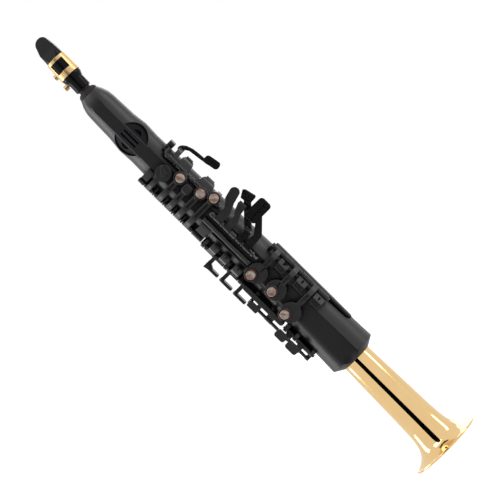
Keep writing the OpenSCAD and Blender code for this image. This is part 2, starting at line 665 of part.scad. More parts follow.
// Palm keys: plates that curl round the housing's right corner
palm_r = 13.4;
module palm_curl(z, h, r, t) translate([0, 0, z - h / 2]) linear_extrude(h) intersection() {
    difference() {
        translate([palm_rod.x, palm_rod.y + r]) circle(r + t / 2);
        translate([palm_rod.x, palm_rod.y + r]) circle(r - t / 2);
    }
    translate([palm_rod.x - eps, palm_rod.y - t]) square([r + t, r + t]);
}
module palm_key(z, h, droop) difference() {
    intersection() {
        union() {
            barrel_solid(palm_rod, palm_posts, z);
            palm_curl(z, h, palm_r, arm_t);
        }
        // Rounded outline, seen from the front
        translate([palm_rod.x + 3.5, palm_rod.y + palm_r + 6, z]) rotate([90, 0, 0]) linear_extrude(palm_r + 12)
            union() {
                translate([-10, -h / 2]) square([10 + 4, h]);
                translate([3, -h / 2 + 4]) square([9.5, h - 4 - droop]);
                translate([5, -h / 2 + 5]) circle(5);
                translate([5, h / 2 - droop - 1]) circle(4.5);
            }
    }
    rod_hole(palm_rod, bore_r);
}
module palm_d_key() color("#232326") palm_key(palm_d_z, 17, 3);
module palm_eb_key() color("#232326") palm_key(palm_eb_z, 21.5, 5);
palm_f_r = 17;
palm_f_arm = [[-3, 4], [2, 3.6], [5.6, -1], [8.4, -9], [9.6, -18], [10, -26], [14, -30], [13, -38],
    [8.4, -40], [6.6, -33], [5.8, -25], [5.2, -17], [3.6, -8], [0.6, -3.5], [-3, -3.5]];
module palm_f_key() color("#3a3a3e") difference() {
    x = palm_rod.x + palm_f_r;
    y = palm_rod.y + palm_f_r;
    union() {
        barrel_solid(palm_rod, palm_posts, palm_f_z);
        palm_curl(palm_f_z, 7, palm_f_r, arm_t);
        // Knob, long curved arm and its touch
        translate([x - 1.6, 0, palm_f_z + 1]) along_y(4.3, y - 8, y);
        translate([0, y - 1.5, 0]) rotate([90, 0, 0]) linear_extrude(4.5)
            polygon([for (p = palm_f_arm) [x + p.x, palm_f_z + p.y]]);
        translate([x + 13, y - 2.5, palm_f_z - 37]) rotate([90, -10, 0]) block(10.4, 21, 3.6, 4.4);
    }
    rod_hole(palm_rod, bore_r);
}

// Pinky table: plates drawn in front view and carried by barrels on one rod
pinky_face = pinky_rod.y - barrel_r;
module front_plate(face, t) translate([0, face + t, 0]) rotate([90, 0, 0]) linear_extrude(t) children();
module oval(l, w) union() {
    square([l - w, w], center = true);
    for (x = [-1, 1]) translate([x * (l - w) / 2, 0]) circle(d = w);
}
module rounded(x0, z0, x1, z1, r) translate([(x0 + x1) / 2, (z0 + z1) / 2]) union() {
    square([x1 - x0 - 2 * r, z1 - z0], center = true);
    square([x1 - x0, z1 - z0 - 2 * r], center = true);
    for (x = [-1, 1], z = [-1, 1]) translate([x * ((x1 - x0) / 2 - r), z * ((z1 - z0) / 2 - r)]) circle(r);
}
module pinky_key(z) difference() {
    union() {
        barrel_solid(pinky_rod, pinky_posts, z);
        front_plate(pinky_face, arm_t) children();
    }
    rod_hole(pinky_rod, bore_r);
}
lever_x = pinky_rod.x;
module g_sharp_key() color("#343438") pinky_key(g_sharp_z) {
    translate([lever_x, g_sharp_z - 5.4]) square([18, 10.4]);
    polygon([[lever_x + 17, g_sharp_z - 5.4], [lever_x + 17, g_sharp_z + 5],
        [lever_x + 26, g_sharp_z + 12], [lever_x + 32, g_sharp_z + 2]]);
    translate([lever_x + 34.2, g_sharp_z + 8.4]) rotate(15) oval(23, 12.8);
}
module c_sharp_key() color("#3c3c40") union() {
    pinky_key(c_sharp_z) {
        translate([lever_x, c_sharp_z - 4]) square([18, 9]);
        polygon([[lever_x + 17, c_sharp_z - 4], [lever_x + 17, c_sharp_z + 4], [lever_x + 23.4, c_sharp_z + 9.1],
            [lever_x + 33.9, c_sharp_z + 13.4], [lever_x + 35.4, c_sharp_z + 2], [lever_x + 25.9, c_sharp_z + 0.6]]);
    }
    // Roller towards the next touch
    translate([lever_x + 36.2, pinky_face + 1.7, c_sharp_z + 2.4]) rotate([0, -4, 0]) cylinder(r = 1.7, h = 10.4);
}
strut_y = pinky_face + 7.2;
module low_b_key() color("#232326") union() {
    pinky_key(low_b_z)
        translate([lever_x, low_b_z - 4.9]) square([17, 9.8]);
    // Strut that passes behind the neighbouring touches
    translate([lever_x + 14, pinky_face, low_b_z - 4.5]) cube([4, 9.4, 9]);
    front_plate(strut_y, 2.2) polygon([[lever_x + 14, low_b_z - 4.5], [lever_x + 18, low_b_z - 4.5],
        [lever_x + 46, low_b_z + 24], [lever_x + 46, low_b_z + 32], [lever_x + 41, low_b_z + 32],
        [lever_x + 14, low_b_z + 4.5]]);
    translate([lever_x + 41.4, pinky_face + 1, low_b_z + 25]) cube([4.6, 8.4, 7]);
    front_plate(pinky_face, arm_t) polygon([[lever_x + 39.6, low_b_z + 35], [lever_x + 48.8, low_b_z + 40.4],
        [lever_x + 51.4, low_b_z + 37.6], [lever_x + 54.6, low_b_z + 24], [lever_x + 52.8, low_b_z + 22.2],
        [lever_x + 41, low_b_z + 21.4]]);
}
module low_bb_key() color("#232326") difference() {
    pinky_key(low_bb_z) {
        translate([lever_x, low_bb_z - 4.8]) square([19, 9.4]);
        polygon([[lever_x + 18, low_bb_z - 4.2], [lever_x + 24.2, low_bb_z - 4.2], [lever_x + 41.2, low_bb_z + 12],
            [lever_x + 41.2, low_bb_z + 16], [lever_x + 34.4, low_bb_z + 16], [lever_x + 18, low_bb_z + 4.2]]);
        rounded(lever_x + 27.2, low_bb_z + 12.6, lever_x + 59, low_bb_z + 30.4, 4.6);
    }
    // Crease across the touch
    translate([lever_x + 42, pinky_face + 0.5, low_bb_z + 20.5]) rotate([90, -4, 0])
        linear_extrude(1) square([36, 0.8], center = true);
}

// Lower stack
module lower_key(z, x, shift) difference() {
    face = arm_face(z);
    union() {
        mirror([1, 0, 0]) stack_lever([-lower_rod.x, lower_rod.y], lower_posts, z, -x, arm_w - 0.6);
        holder(x, z, face + holder_up, cup_d / 2);
        // Two ridges near the barrel and a boss under the pearl
        for (s = [-1, 1]) translate([7, face - 0.9, z + s * (arm_w / 2 - 1.3) - 0.8]) cube([11, 1.6, 1.6]);
        holder(x + shift.x, z + shift.y, face - 1.2, holder_r);
    }
    rod_hole(lower_rod, bore_r);
    holder_cut(x + shift.x, z + shift.y, face - 1.2);
    translate([7, face - 0.8, z - 0.8]) cube([11, 1.4, 1.6]);
}
f_shift = [-6.6, 4.4];
e_shift = [-4.6, 2.6];
d_shift = [-6.7, 3.7];
module f_key() color("#343438") lower_key(f_z, f_x, f_shift);
module e_key() color("#343438") lower_key(e_z, e_x, e_shift);
module d_key() color("#343438") lower_key(d_z, d_x, d_shift);
module lower_pearl(z, x, shift) pearl(x + shift.x, z + shift.y, arm_face(z) - 1.2);
module f_pearl() lower_pearl(f_z, f_x, f_shift);
module e_pearl() lower_pearl(e_z, e_x, e_shift);
module d_pearl() lower_pearl(d_z, d_x, d_shift);

// Side keys: a lever out to the left and a long touch along the instrument
touch_x = -48;
module side_key(z, top, len, wraps) difference() {
    union() {
        barrel_solid(side_rod, side_posts, z);
        translate([touch_x + 1, side_rod.y - 2.4, top - 5.4]) cube([side_rod.x - touch_x - 2, 4.2, 5]);
        translate([touch_x, side_rod.y + 1.4, top - len / 2]) rotate([90, 0, 90]) block(11, len, 3.8, 3.5);
        // Plates that wrap onto the front of the housing
        for (p = wraps) translate([0, 0, p[0] - p[1] / 2]) linear_extrude(p[1])
            arm_plan(side_rod, -front_d(p[0]) - wrap_up, -16.6, wrap_t);
    }
    rod_hole(side_rod, bore_r);
    for (p = wraps) translate([side_rod.x + 10, -front_d(p[0]) - wrap_up - 1, p[0] - 0.6]) cube([5, 1.6, 1.2]);
}
wrap_t = 2.4;
wrap_up = 3.6;
module side_e_key() color("#232326") union() {
    side_key(side_e_z, foot_z + 211, 22, [[foot_z + 216.4, 11], [foot_z + 199, 11.4]]);
    // Wedge at the top of the touch
    translate([0, side_rod.y + 4, 0]) rotate([90, 0, 0]) linear_extrude(8)
        polygon([[touch_x - 1.6, foot_z + 211], [touch_x + 9, foot_z + 211], [touch_x + 8, foot_z + 206],
            [touch_x + 3.8, foot_z + 199], [touch_x + 1, foot_z + 199]]);
}
module side_c_key() color("#232326") side_key(side_c_z, foot_z + 186, 20, [[foot_z + 178.6, 12]]);
module side_bb_key() color("#232326") side_key(side_bb_z, foot_z + 163, 20.5, []);
fs_x = -41;
module high_fs_key() color("#343438") difference() {
    union() {
        barrel_solid(side_rod, side_posts, high_fs_z);
        translate([fs_x, side_rod.y - 3.6, high_fs_z - 3]) cube([side_rod.x - fs_x, 3.4, 6]);
        translate([0, side_rod.y - 0.2, 0]) rotate([90, 0, 0]) linear_extrude(3.4)
            rounded(fs_x - 5, high_fs_z - 3, fs_x + 3.6, high_fs_z + 13, 1.6);
    }
    rod_hole(side_rod, bore_r);
}

// Low keys for the right little finger
low_face = low_rod.y - 9;
module low_key(z, x0, z0, x1, z1) difference() {
    union() {
        barrel_solid(low_rod, low_posts, z);
        translate([0, 0, z - 4]) linear_extrude(8)
            polygon([[low_rod.x + 2.2, low_rod.y - 1.6], [low_rod.x - 2, low_rod.y + 1],
                [x1 - 6, low_face + arm_t - 0.4], [x1 - 1, low_face + 0.4]]);
        front_plate(low_face, arm_t) rounded(x0, z0, x1, z1, 3.5);
    }
    rod_hole(low_rod, bore_r);
}
module low_eb_key() color("#232326") low_key(eb_z - 5, -47.5, foot_z + 77, -36.5, foot_z + 93);
module low_c_key() color("#232326") low_key(c_z + 1, -48.5, foot_z + 56, -37, foot_z + 73.6);

// Glossy cover on the right side
side_cover_low = foot_z + 39.5;
side_cover_high = foot_z + 167;
side_cover_t = 1.4;
side_cover_front = -11.2;
side_cover_back = 9;
// The cover runs straight up while the housing narrows behind it
module side_cover() color("#141416") seated() intersection() {
    translate([0, 0, side_cover_low]) linear_extrude(side_cover_high - side_cover_low)
        polygon(section(side_cover_low, -side_cover_t));
    translate([20, between(side_cover_front, side_cover_back), between(side_cover_low, side_cover_high)])
        rotate([90, 0, 90]) block(side_cover_back - side_cover_front, side_cover_high - side_cover_low, 20, 8);
}

// Fittings on the back
octave_z = foot_z + 314;
octave_pin_y = 6;
octave_pin_r = 1.5;
rest_z = foot_z + 285;
lug_gap = 12;
module thumb_rest() color("#2c2b2e") union() {
    difference() {
        at_back(rest_z) along_y(9, 0, 4);
        // Hollow for the thumb
        at_back(rest_z) translate([0, 26, 0]) sphere(r = 23.4);
    }
    at_back(octave_z) union() {
        for (x = [-1, 1]) translate([x * (lug_gap / 2 + 1.5), 0, 0]) union() {
            translate([-1.5, 0, -3]) cube([3, octave_pin_y, 6]);
            translate([-1.5, octave_pin_y, 0]) rotate([0, 90, 0]) cylinder(r = 3, h = 3);
        }
        translate([0, octave_pin_y, 0]) rotate([0, 90, 0])
            cylinder(r = octave_pin_r, h = lug_gap + 2, center = true);
    }
}
module octave_key() color("#343438") at_back(octave_z) difference() {
    union() {
        translate([0, octave_pin_y, 0]) rotate([0, 90, 0]) cylinder(r = 2.9, h = lug_gap - 1, center = true);
        translate([-3, octave_pin_y, -14]) cube([6, 2.9, 14]);
        // Crescent touch above the thumb rest
        translate([0, octave_pin_y + 2.9, -14]) rotate([90, 0, 0]) linear_extrude(2.9) difference() {
            union() {
                circle(11);
                translate([-11, -2]) square([22, 4]);
            }
            translate([0, -12]) circle(12);
        }
    }
    translate([0, octave_pin_y, 0]) rotate([0, 90, 0])
        cylinder(r = octave_pin_r + rod_play, h = lug_gap + 2, center = true);
}
knob_lift = 2.4;
lever_pivot = 9;
module thumb_lever() color("#1d1c1e") at_back(lever_z) union() {
    translate([-2.5, -lever_pivot, -2.5]) cube([5, lever_pivot + knob_lift + 1, 5]);
    translate([0, -lever_pivot, 0]) rotate([0, 90, 0]) cylinder(r = 2.5, h = 14, center = true);
    difference() {
        along_y(6.5, knob_lift, knob_lift + 2.4);
        translate([0, knob_lift + 2.4 + 18.9, 0]) sphere(r = 20);
    }
}
module button(i) color("#56565a") at_back(button_z) translate([i * button_pitch, 0, 0]) union() {
    along_y(button_d / 2, -wall - 1.2, button_travel + 0.4);
    along_y(button_d / 2 + 1, -wall - 2.2, -wall - 1.1);
}
module button_up() button(1);
module button_mode() button(0);
module button_down() button(-1);
module display_window() color("#0c0d10") at_back(display_z) translate([0, -wall, 0])
    back_slab(display_w, display_h, wall - 0.3, 1);
jack_x = 6;
usb_x = -6.5;
module port_panel() color("#1b1b1d") at_back(port_z) difference() {
    union() {
        translate([0, -wall - 0.6, 0]) back_slab(port_w, port_h, wall, 2);
        for (z = [-1, 1]) translate([jack_x, 0, z * 3.7]) along_y(jack_d / 2 + 1.5, -jack_depth - 0.6, -wall);
        translate([usb_x - 5, -8, -2.6]) cube([10, 7, 5.2]);
    }
    for (z = [-1, 1]) translate([jack_x, 0, z * 3.7]) along_y(jack_d / 2, -jack_depth - 0.6 + eps, 1);
    translate([usb_x - 4, -7, -1.5]) cube([8, 9, 3]);
}
strap_z = foot_z + 198;
module strap_ring() color("#9fa1a6") at_back(strap_z) difference() {
    union() {
        back_slab(14, 22, 2, 3);
        translate([-strap_wire_d / 2, 0, -5]) cube([strap_wire_d, 5, 10]);
        translate([0, strap_ring_d / 2 + strap_wire_d + 0.6, 0]) rotate([0, 90, 0])
            cylinder(d = strap_ring_d + 2 * strap_wire_d, h = strap_wire_d, center = true);
    }
    translate([0, strap_ring_d / 2 + strap_wire_d + 0.6, 0]) rotate([0, 90, 0])
        cylinder(d = strap_ring_d, h = 30, center = true);
    for (z = [-1, 1]) translate([0, 0, z * 8]) along_y(1.2, 1.2, 3);
}
hook_gap = 0.1;
hook_t = 2.4;
hook_len = 32;
module thumb_hook() color("#232326") at_back(hook_z) translate([0, hook_gap, 0]) difference() {
    union() {
        back_slab(hook_w, hook_len, hook_t, 5);
        // Hook that the thumb sits under
        translate([-hook_w / 2, hook_t + 9, hook_len / 2 - 5]) rotate([0, 90, 0]) linear_extrude(hook_w) union() {
            difference() {
                circle(14);
                circle(11.2);
                translate([0, -20]) square(40);
                translate([-20, -40]) square([40, 28.6 + eps]);
            }
            translate([-14, -11.4]) square([2.8, 11.8]);
        }
    }
    translate([0, -1, hook_screw_dz]) rotate([-90, 0, 0]) linear_extrude(hook_t + 2)
        rotate(90) oval(hook_travel + 2 * hook_screw_r + 2, 2 * hook_screw_r + 0.8);
}
module hook_screw() color("#9a9ca0") at_back(hook_z) translate([0, 0, hook_screw_dz]) difference() {
    union() {
        along_y(hook_screw_r, -wall - 1.5, hook_t + 1);
        along_y(4.6, hook_t + 2 * hook_gap, hook_t + 2 * hook_gap + 3);
    }
    translate([-5, hook_t + 2.4, -0.5]) cube([10, 2, 1]);
}
screw_levels = [for (z = [14, 118, 246, 345, 420]) foot_z + z];
screw_pocket = 1.4;
module at_screws() for (z = screw_levels, x = [-1, 1])
    at_back(z) translate([x * (panel(z) - screw_d / 2 - 0.4), 0, 0]) children();
module shell_screws() color("#77797d") at_screws() difference() {
    along_y(screw_d / 2, -screw_pocket, -0.1);
    for (a = [0, 90]) rotate([0, a, 0]) translate([-1.6, -0.8, -0.35]) cube([3.2, 1, 0.7]);
}

// Mouthpiece, drawn in its own frame with its shank's end at z = 0
mouth_z = 2.6;
body_z = 20;
table_y = 6.6;
table_z = 24;
module at_mouth() at_neck() translate([0, 0, mouth_z]) children();
function mouth_r_at(z) = lookup(z, [[0, shank_d / 2], [14, shank_d / 2], [body_z, barrel_d / 2],
    [mouthpiece_len - 33, barrel_d / 2 - 0.9], [mouthpiece_len, barrel_d / 2 - 1.4]]);
module mouthpiece() color("#151416") at_mouth() difference() {
    intersection() {
        rotate_extrude() polygon([[0, 0], [mouth_r_at(0) - 0.6, 0], [mouth_r_at(0), 0.6],
            [mouth_r_at(14), 14], [mouth_r_at(17), 17.5], [mouth_r_at(20), body_z],
            [mouth_r_at(mouthpiece_len - 33), mouthpiece_len - 33], [mouth_r_at(mouthpiece_len), mouthpiece_len + 1],
            [0, mouthpiece_len + 1]]);
        // Front view with the rounded tip
        translate([0, 20, 0]) rotate([90, 0, 0]) linear_extrude(40) union() {
            polygon([[-14, -1], [14, -1], [14, body_z], [12.2, mouthpiece_len - 33],
                [11.3, mouthpiece_len - 19], [8.9, mouthpiece_len - 8], [-8.9, mouthpiece_len - 8],
                [-11.3, mouthpiece_len - 19], [-12.2, mouthpiece_len - 33], [-14, body_z]]);
            translate([0, mouthpiece_len - 9]) circle(9);
        }
        // Side view with the beak's slope and the reed's table
        translate([-20, 0, 0]) rotate([90, 0, 90]) linear_extrude(40) polygon([[-14, -1], [14, -1],
            [14, table_z], [table_y, table_z], [table_y, mouthpiece_len], [table_y - 1.6, mouthpiece_len],
            [table_y - 6, mouthpiece_len - 9], [-6, mouthpiece_len - 22], [-12.2, mouthpiece_len - 36],
            [-14, mouthpiece_len - 37]]);
    }
    translate([0, 0, -1]) cylinder(d = cork_d + 2 * fit, h = cork_len + tune_travel + 1);
    translate([0, 0, 10]) cylinder(r = 5.4, h = mouthpiece_len - 42);
    // Window under the reed
    translate([-5, -2, mouthpiece_len - 40]) rotate([-12, 0, 0]) cube([10, 20, 31]);
}
module reed() color("#d8b878") at_mouth() intersection() {
    translate([0, 20, 0]) rotate([90, 0, 0]) linear_extrude(20) union() {
        translate([-reed_w / 2, table_z + 3]) square([reed_w, mouthpiece_len - 12 - table_z]);
        translate([0, mouthpiece_len - 9.4]) circle(8.6);
    }
    translate([-20, 0, 0]) rotate([90, 0, 90]) linear_extrude(40) polygon([[table_y, table_z + 3],
        [table_y + 2.7, table_z + 3], [table_y + 2.7, mouthpiece_len - 34], [table_y + 0.3, mouthpiece_len - 0.8],
        [table_y, mouthpiece_len - 0.8]]);
}
band_low = 23;
band_high = band_low + ligature_w + 2;
bar_low = 8;
bar_high = 4.3;
window_w = 18.4;
screw_y = barrel_d / 2 + ligature_t + 2.6;
screw_zs = [18.4, 36.4];
module ligature() color("#c99a4a") at_mouth() difference() {
    union() {
        rotate_extrude() polygon([[mouth_r_at(band_low), band_low], [mouth_r_at(band_low) + ligature_t, band_low],
            [mouth_r_at(band_high) + ligature_t, band_high], [mouth_r_at(band_high), band_high]]);
        // Lugs for the screws, on the reed's side
        for (x = [-1, 1]) difference() {
            translate([x * 5 - 1.5, 4, screw_zs[0] - 4]) cube([3, screw_y, screw_zs[1] - screw_zs[0] + 8]);
            translate([0, 0, -1]) cylinder(r = barrel_d / 2 + 0.3, h = 70);
        }
    }
    translate([-window_w / 2, -30, band_low + bar_low])
        cube([window_w, 30, band_high - bar_high - band_low - bar_low]);
    for (z = screw_zs) translate([0, screw_y, z]) rotate([0, 90, 0]) cylinder(r = 1.5 + fit, h = 30, center = true);
}
module ligature_screw(z) color("#b9985c") at_mouth() translate([0, screw_y, z]) rotate([0, -90, 0]) union() {
    translate([0, 0, -8.5]) cylinder(r = 1.5, h = 17);
    translate([0, 0, 8]) cylinder(d = 4.2, h = 8);
    translate([0, 0, 15]) cylinder(d = ligature_head_d, h = 5.4);
}
module ligature_screw_upper() ligature_screw(screw_zs[1]);
module ligature_screw_lower() ligature_screw(screw_zs[0]);

front_shell();
rear_shell();
neck_tenon();
bell();
speaker_grilles();
speaker_unit();
inner_chassis();
main_board();
battery_cells();
upper_key_frame();
palm_key_frame();
pinky_key_frame();
lower_key_frame();
hinge_rods();
side_cover();
strap_ring();
thumb_rest();
display_window();
port_panel();
shell_screws();
front_f_key();
b_key();
b_pearl();
bis_key();
a_key();
a_pearl();
g_key();
g_pearl();
palm_d_key();
palm_eb_key();
palm_f_key();
g_sharp_key();
c_sharp_key();
low_b_key();
low_bb_key();
f_key();
f_pearl();
e_key();
e_pearl();
d_key();
d_pearl();
side_e_key();
side_c_key();
side_bb_key();
high_fs_key();
low_eb_key();
low_c_key();
octave_key();
thumb_lever();
button_up();
button_mode();
button_down();
battery_cover();
thumb_hook();
hook_screw();
mouthpiece();
reed();
ligature();
ligature_screw_upper();
ligature_screw_lower();
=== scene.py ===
# %% [markdown]
# # A straight digital saxophone
# This notebook dresses a finished construction model of a digital wind
# instrument: a matt black housing with a speaker in its neck, a full set of
# sprung keys on hinge rods, a gold lacquered bell that it stands on, and an
# alto mouthpiece with a gold ligature. The construction model comes in as
# fixed parts that already fit and move. Here each part gets the surface it has
# in life, and the parts whose looks depend on a soft curve or a rounded edge
# are made again over the plain solid.

# %% Load the construction model
import json
import math

import bmesh
import bpy
from mathutils import Matrix, Vector
from mathutils.bvhtree import BVHTree


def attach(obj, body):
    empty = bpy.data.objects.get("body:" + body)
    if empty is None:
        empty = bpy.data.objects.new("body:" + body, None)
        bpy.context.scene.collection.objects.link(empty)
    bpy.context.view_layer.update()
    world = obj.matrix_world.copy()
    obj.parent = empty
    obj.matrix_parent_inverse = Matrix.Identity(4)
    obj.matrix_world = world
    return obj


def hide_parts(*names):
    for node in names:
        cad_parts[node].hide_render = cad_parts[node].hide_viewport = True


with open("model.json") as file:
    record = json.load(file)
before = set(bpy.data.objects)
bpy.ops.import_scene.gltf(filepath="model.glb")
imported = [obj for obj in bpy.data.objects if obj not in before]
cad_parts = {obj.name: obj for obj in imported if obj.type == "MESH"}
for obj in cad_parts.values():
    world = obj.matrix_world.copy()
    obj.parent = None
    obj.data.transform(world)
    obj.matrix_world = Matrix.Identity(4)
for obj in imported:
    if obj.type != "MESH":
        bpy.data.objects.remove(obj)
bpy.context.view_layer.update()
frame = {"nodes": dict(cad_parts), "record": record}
nodes = frame["nodes"]

# %% [markdown]
# ## Units and helpers
# The model is in metres, while an instrument maker thinks in millimetres, so
# one factor turns one into the other. Colours are given as sRGB values, which
# have to be made linear before a shader can use them. One helper adds a node to
# any tree, sets its options and links it. Two more start an empty material and
# put data into the scene as an object at the origin.

# %% Millimetres, colours, nodes and objects
MM = 0.001
WHITE = (1, 1, 1, 1)


def paint(hex_text):
    """Linear RGBA of an sRGB colour such as 2b2a2d."""
    channels = [int(hex_text[i:i + 2], 16) / 255 for i in (0, 2, 4)]
    linear = [c / 12.92 if c <= 0.04045 else ((c + 0.055) / 1.055) ** 2.4 for c in channels]
    return (*linear, 1.0)


def add(tree, kind, inputs=None, **options):
    """Adds a node. A socket among the inputs is linked, anything else is set."""
    node = tree.nodes.new(kind)
    for name, value in options.items():
        setattr(node, name, value)
    for name, value in (inputs or {}).items():
        if isinstance(value, bpy.types.NodeSocket):
            tree.links.new(value, node.inputs[name])
        else:
            node.inputs[name].default_value = value
    return node


def empty_material(name):
    """A material whose tree has no nodes yet, and that tree."""
    made = bpy.data.materials.new(name)
    made.use_nodes = True
    made.node_tree.nodes.clear()
    return made, made.node_tree


def in_scene(name, data):
    """An object for some data, linked into the scene."""
    made = bpy.data.objects.new(name, data)
    bpy.context.scene.collection.objects.link(made)
    return made


print("sRGB 808080 is", round(paint("808080")[0], 3), "in linear light")

# %% [markdown]
# ## The camera
# The photograph was taken from far away with a long lens, so its lines stay
# almost parallel, and the picture was then turned until the instrument lay
# across it from corner to corner. The camera stands five metres off, a little
# to the instrument's right and above, and is rolled by the same angle. The
# focal length follows from the width of the picture at that distance.

# %% Place the camera
VIEW_TURN = math.radians(11)
VIEW_DROP = math.radians(3)
ROLL = math.radians(45.4)
DISTANCE = 5.0
PICTURE_WIDTH = 606.8 * MM
AIM = Vector((2.3, 0, 338)) * MM
SENSOR_MM = 36
SEE_UP_TO = 40

toward_camera = Vector((
    math.sin(VIEW_TURN) * math.cos(VIEW_DROP),
    -math.cos(VIEW_TURN) * math.cos(VIEW_DROP),
    math.sin(VIEW_DROP),
))
camera_data = bpy.data.cameras.new("camera")
camera_data.sensor_width = SENSOR_MM
camera_data.lens = SENSOR_MM * DISTANCE / PICTURE_WIDTH
camera_data.clip_end = SEE_UP_TO
camera = in_scene("camera", camera_data)
level = (-toward_camera).to_track_quat("-Z", "Y").to_matrix().to_4x4()
camera.matrix_world = level @ Matrix.Rotation(-ROLL, 4, "Z")
camera.location = AIM + toward_camera * DISTANCE
bpy.context.scene.camera = camera
print("lens", round(camera_data.lens, 1), "mm at", DISTANCE, "m")

# %% [markdown]
# ## The backdrop
# The photograph is a cut-out on white. More light could make a grey backdrop
# white, but it would also wash the instrument out, so the world sorts its rays
# instead. The camera sees pure white, mirror images see almost the same, and
# the light that falls on the instrument from all round stays low.

# %% The world
MIRROR_WHITE = 0.95
FILL_LIGHT = 0.07

world = bpy.data.worlds.new("studio")
bpy.context.scene.world = world
world.use_nodes = True
wt = world.node_tree
wt.nodes.clear()
rays = add(wt, "ShaderNodeLightPath")
seen = add(wt, "ShaderNodeMath", {
    0: rays.outputs["Is Camera Ray"], 1: rays.outputs["Is Transmission Ray"]}, operation="MAXIMUM")
white = add(wt, "ShaderNodeBackground", {"Color": WHITE, "Strength": 1.0})
mirror = add(wt, "ShaderNodeBackground", {"Color": WHITE, "Strength": MIRROR_WHITE})
fill = add(wt, "ShaderNodeBackground", {"Color": WHITE, "Strength": FILL_LIGHT})
glossy = add(wt, "ShaderNodeMixShader", {
    0: rays.outputs["Is Glossy Ray"], 1: fill.outputs[0], 2: mirror.outputs[0]})
all_rays = add(wt, "ShaderNodeMixShader", {
    0: seen.outputs[0], 1: glossy.outputs[0], 2: white.outputs[0]})
add(wt, "ShaderNodeOutputWorld", {"Surface": all_rays.outputs[0]})
print("the world has", len(wt.nodes), "nodes")

# %% [markdown]
# ## The floor
# The floor is white paper that runs to the horizon. To the camera it is matt
# paper with a glow that rises with the distance, so that it melts into the
# backdrop while the shadow at the instrument's foot stays. Lit paper would
# burn out in the polished bell, so mirror images see it as plain white.

# %% White paper floor
FLOOR_HALF = 30.0
FLOOR_GAP = 0.3 * MM
GLOW_START, GLOW_END = 0.4, 4.0
GLOW_NEAR, GLOW_FAR = 0.82, 1.0

floor_mesh = bpy.data.meshes.new("floor")
floor_mesh.from_pydata(
    [(x * FLOOR_HALF, y * FLOOR_HALF, 0) for x, y in ((-1, -1), (1, -1), (1, 1), (-1, 1))],
    [], [(0, 1, 2, 3)])
floor = in_scene("floor", floor_mesh)
floor.location.z = -FLOOR_GAP
paper, pt = empty_material("white_paper_floor")
rays = add(pt, "ShaderNodeLightPath")
matt = add(pt, "ShaderNodeBsdfDiffuse", {"Color": paint("f4f4f4")})
spot = add(pt, "ShaderNodeTexCoord").outputs["Object"]
reach = add(pt, "ShaderNodeVectorMath", {0: spot}, operation="LENGTH")
far = add(pt, "ShaderNodeMapRange", {
    "Value": reach.outputs["Value"], "From Min": GLOW_START, "From Max": GLOW_END,
    "To Min": GLOW_NEAR, "To Max": GLOW_FAR})
glow = add(pt, "ShaderNodeEmission", {"Color": WHITE, "Strength": far.outputs[0]})
lit = add(pt, "ShaderNodeAddShader", {0: matt.outputs[0], 1: glow.outputs[0]})
for_camera = add(pt, "ShaderNodeMixShader", {
    0: rays.outputs["Is Camera Ray"], 1: matt.outputs[0], 2: lit.outputs[0]})
mirrored = add(pt, "ShaderNodeEmission", {"Color": WHITE, "Strength": MIRROR_WHITE})
floor_mix = add(pt, "ShaderNodeMixShader", {
    0: rays.outputs["Is Glossy Ray"], 1: for_camera.outputs[0], 2: mirrored.outputs[0]})
add(pt, "ShaderNodeOutputMaterial", {"Surface": floor_mix.outputs[0]})
floor_mesh.materials.append(paper)
print("floor of", 2 * FLOOR_HALF, "m")

# %% [markdown]
# ## The lamps
# Large soft boxes give long, soft highlights. A tall one on each side draws a
# bright line down the edges of the housing, one above lights the touches, and
# one behind separates the black keys from each other. The left box is the
# strongest, as in the photograph.

# %% Four soft boxes
LAMP_AIM = Vector((0, 0, 0.34))


def soft_box(name, azimuth, height, distance, size, watts):
    """A rectangular lamp turned to the middle of the instrument, in metres."""
    data = bpy.data.lights.new(name, "AREA")
    data.shape = "RECTANGLE"
    data.size, data.size_y = size
    data.energy = watts
    lamp = in_scene(name, data)
    turn = math.radians(azimuth)
    lamp.location = (math.sin(turn) * distance, -math.cos(turn) * distance, height)
    lamp.rotation_euler = (LAMP_AIM - lamp.location).to_track_quat("-Z", "Y").to_euler()
    print(name, watts, "W")


soft_box("left_box", azimuth=-90, height=1.0, distance=2.2, size=(0.7, 2.2), watts=24)
soft_box("right_box", azimuth=90, height=0.9, distance=2.2, size=(0.5, 2.0), watts=11)
soft_box("top_box", azimuth=-20, height=2.6, distance=1.2, size=(1.6, 1.0), watts=12)
soft_box("rear_box", azimuth=175, height=1.2, distance=2.4, size=(2.2, 1.8), watts=18)

# %% [markdown]
# ## The dark strip
# A bright bell would look flat in a white room, so a photographer sets a strip
# of black velvet near the camera: its mirror image is the dark streak down the
# middle of the bell. The strip stands upright in front and runs in along the
# floor, because the flare mirrors the floor. It is seen in reflections alone.

# %% Black velvet
STRIP_TURN = math.radians(-1)
STRIP_HALF = math.radians(14)
STRIP_OUT, STRIP_IN, STRIP_TOP = 0.9, 0.16, 2.5

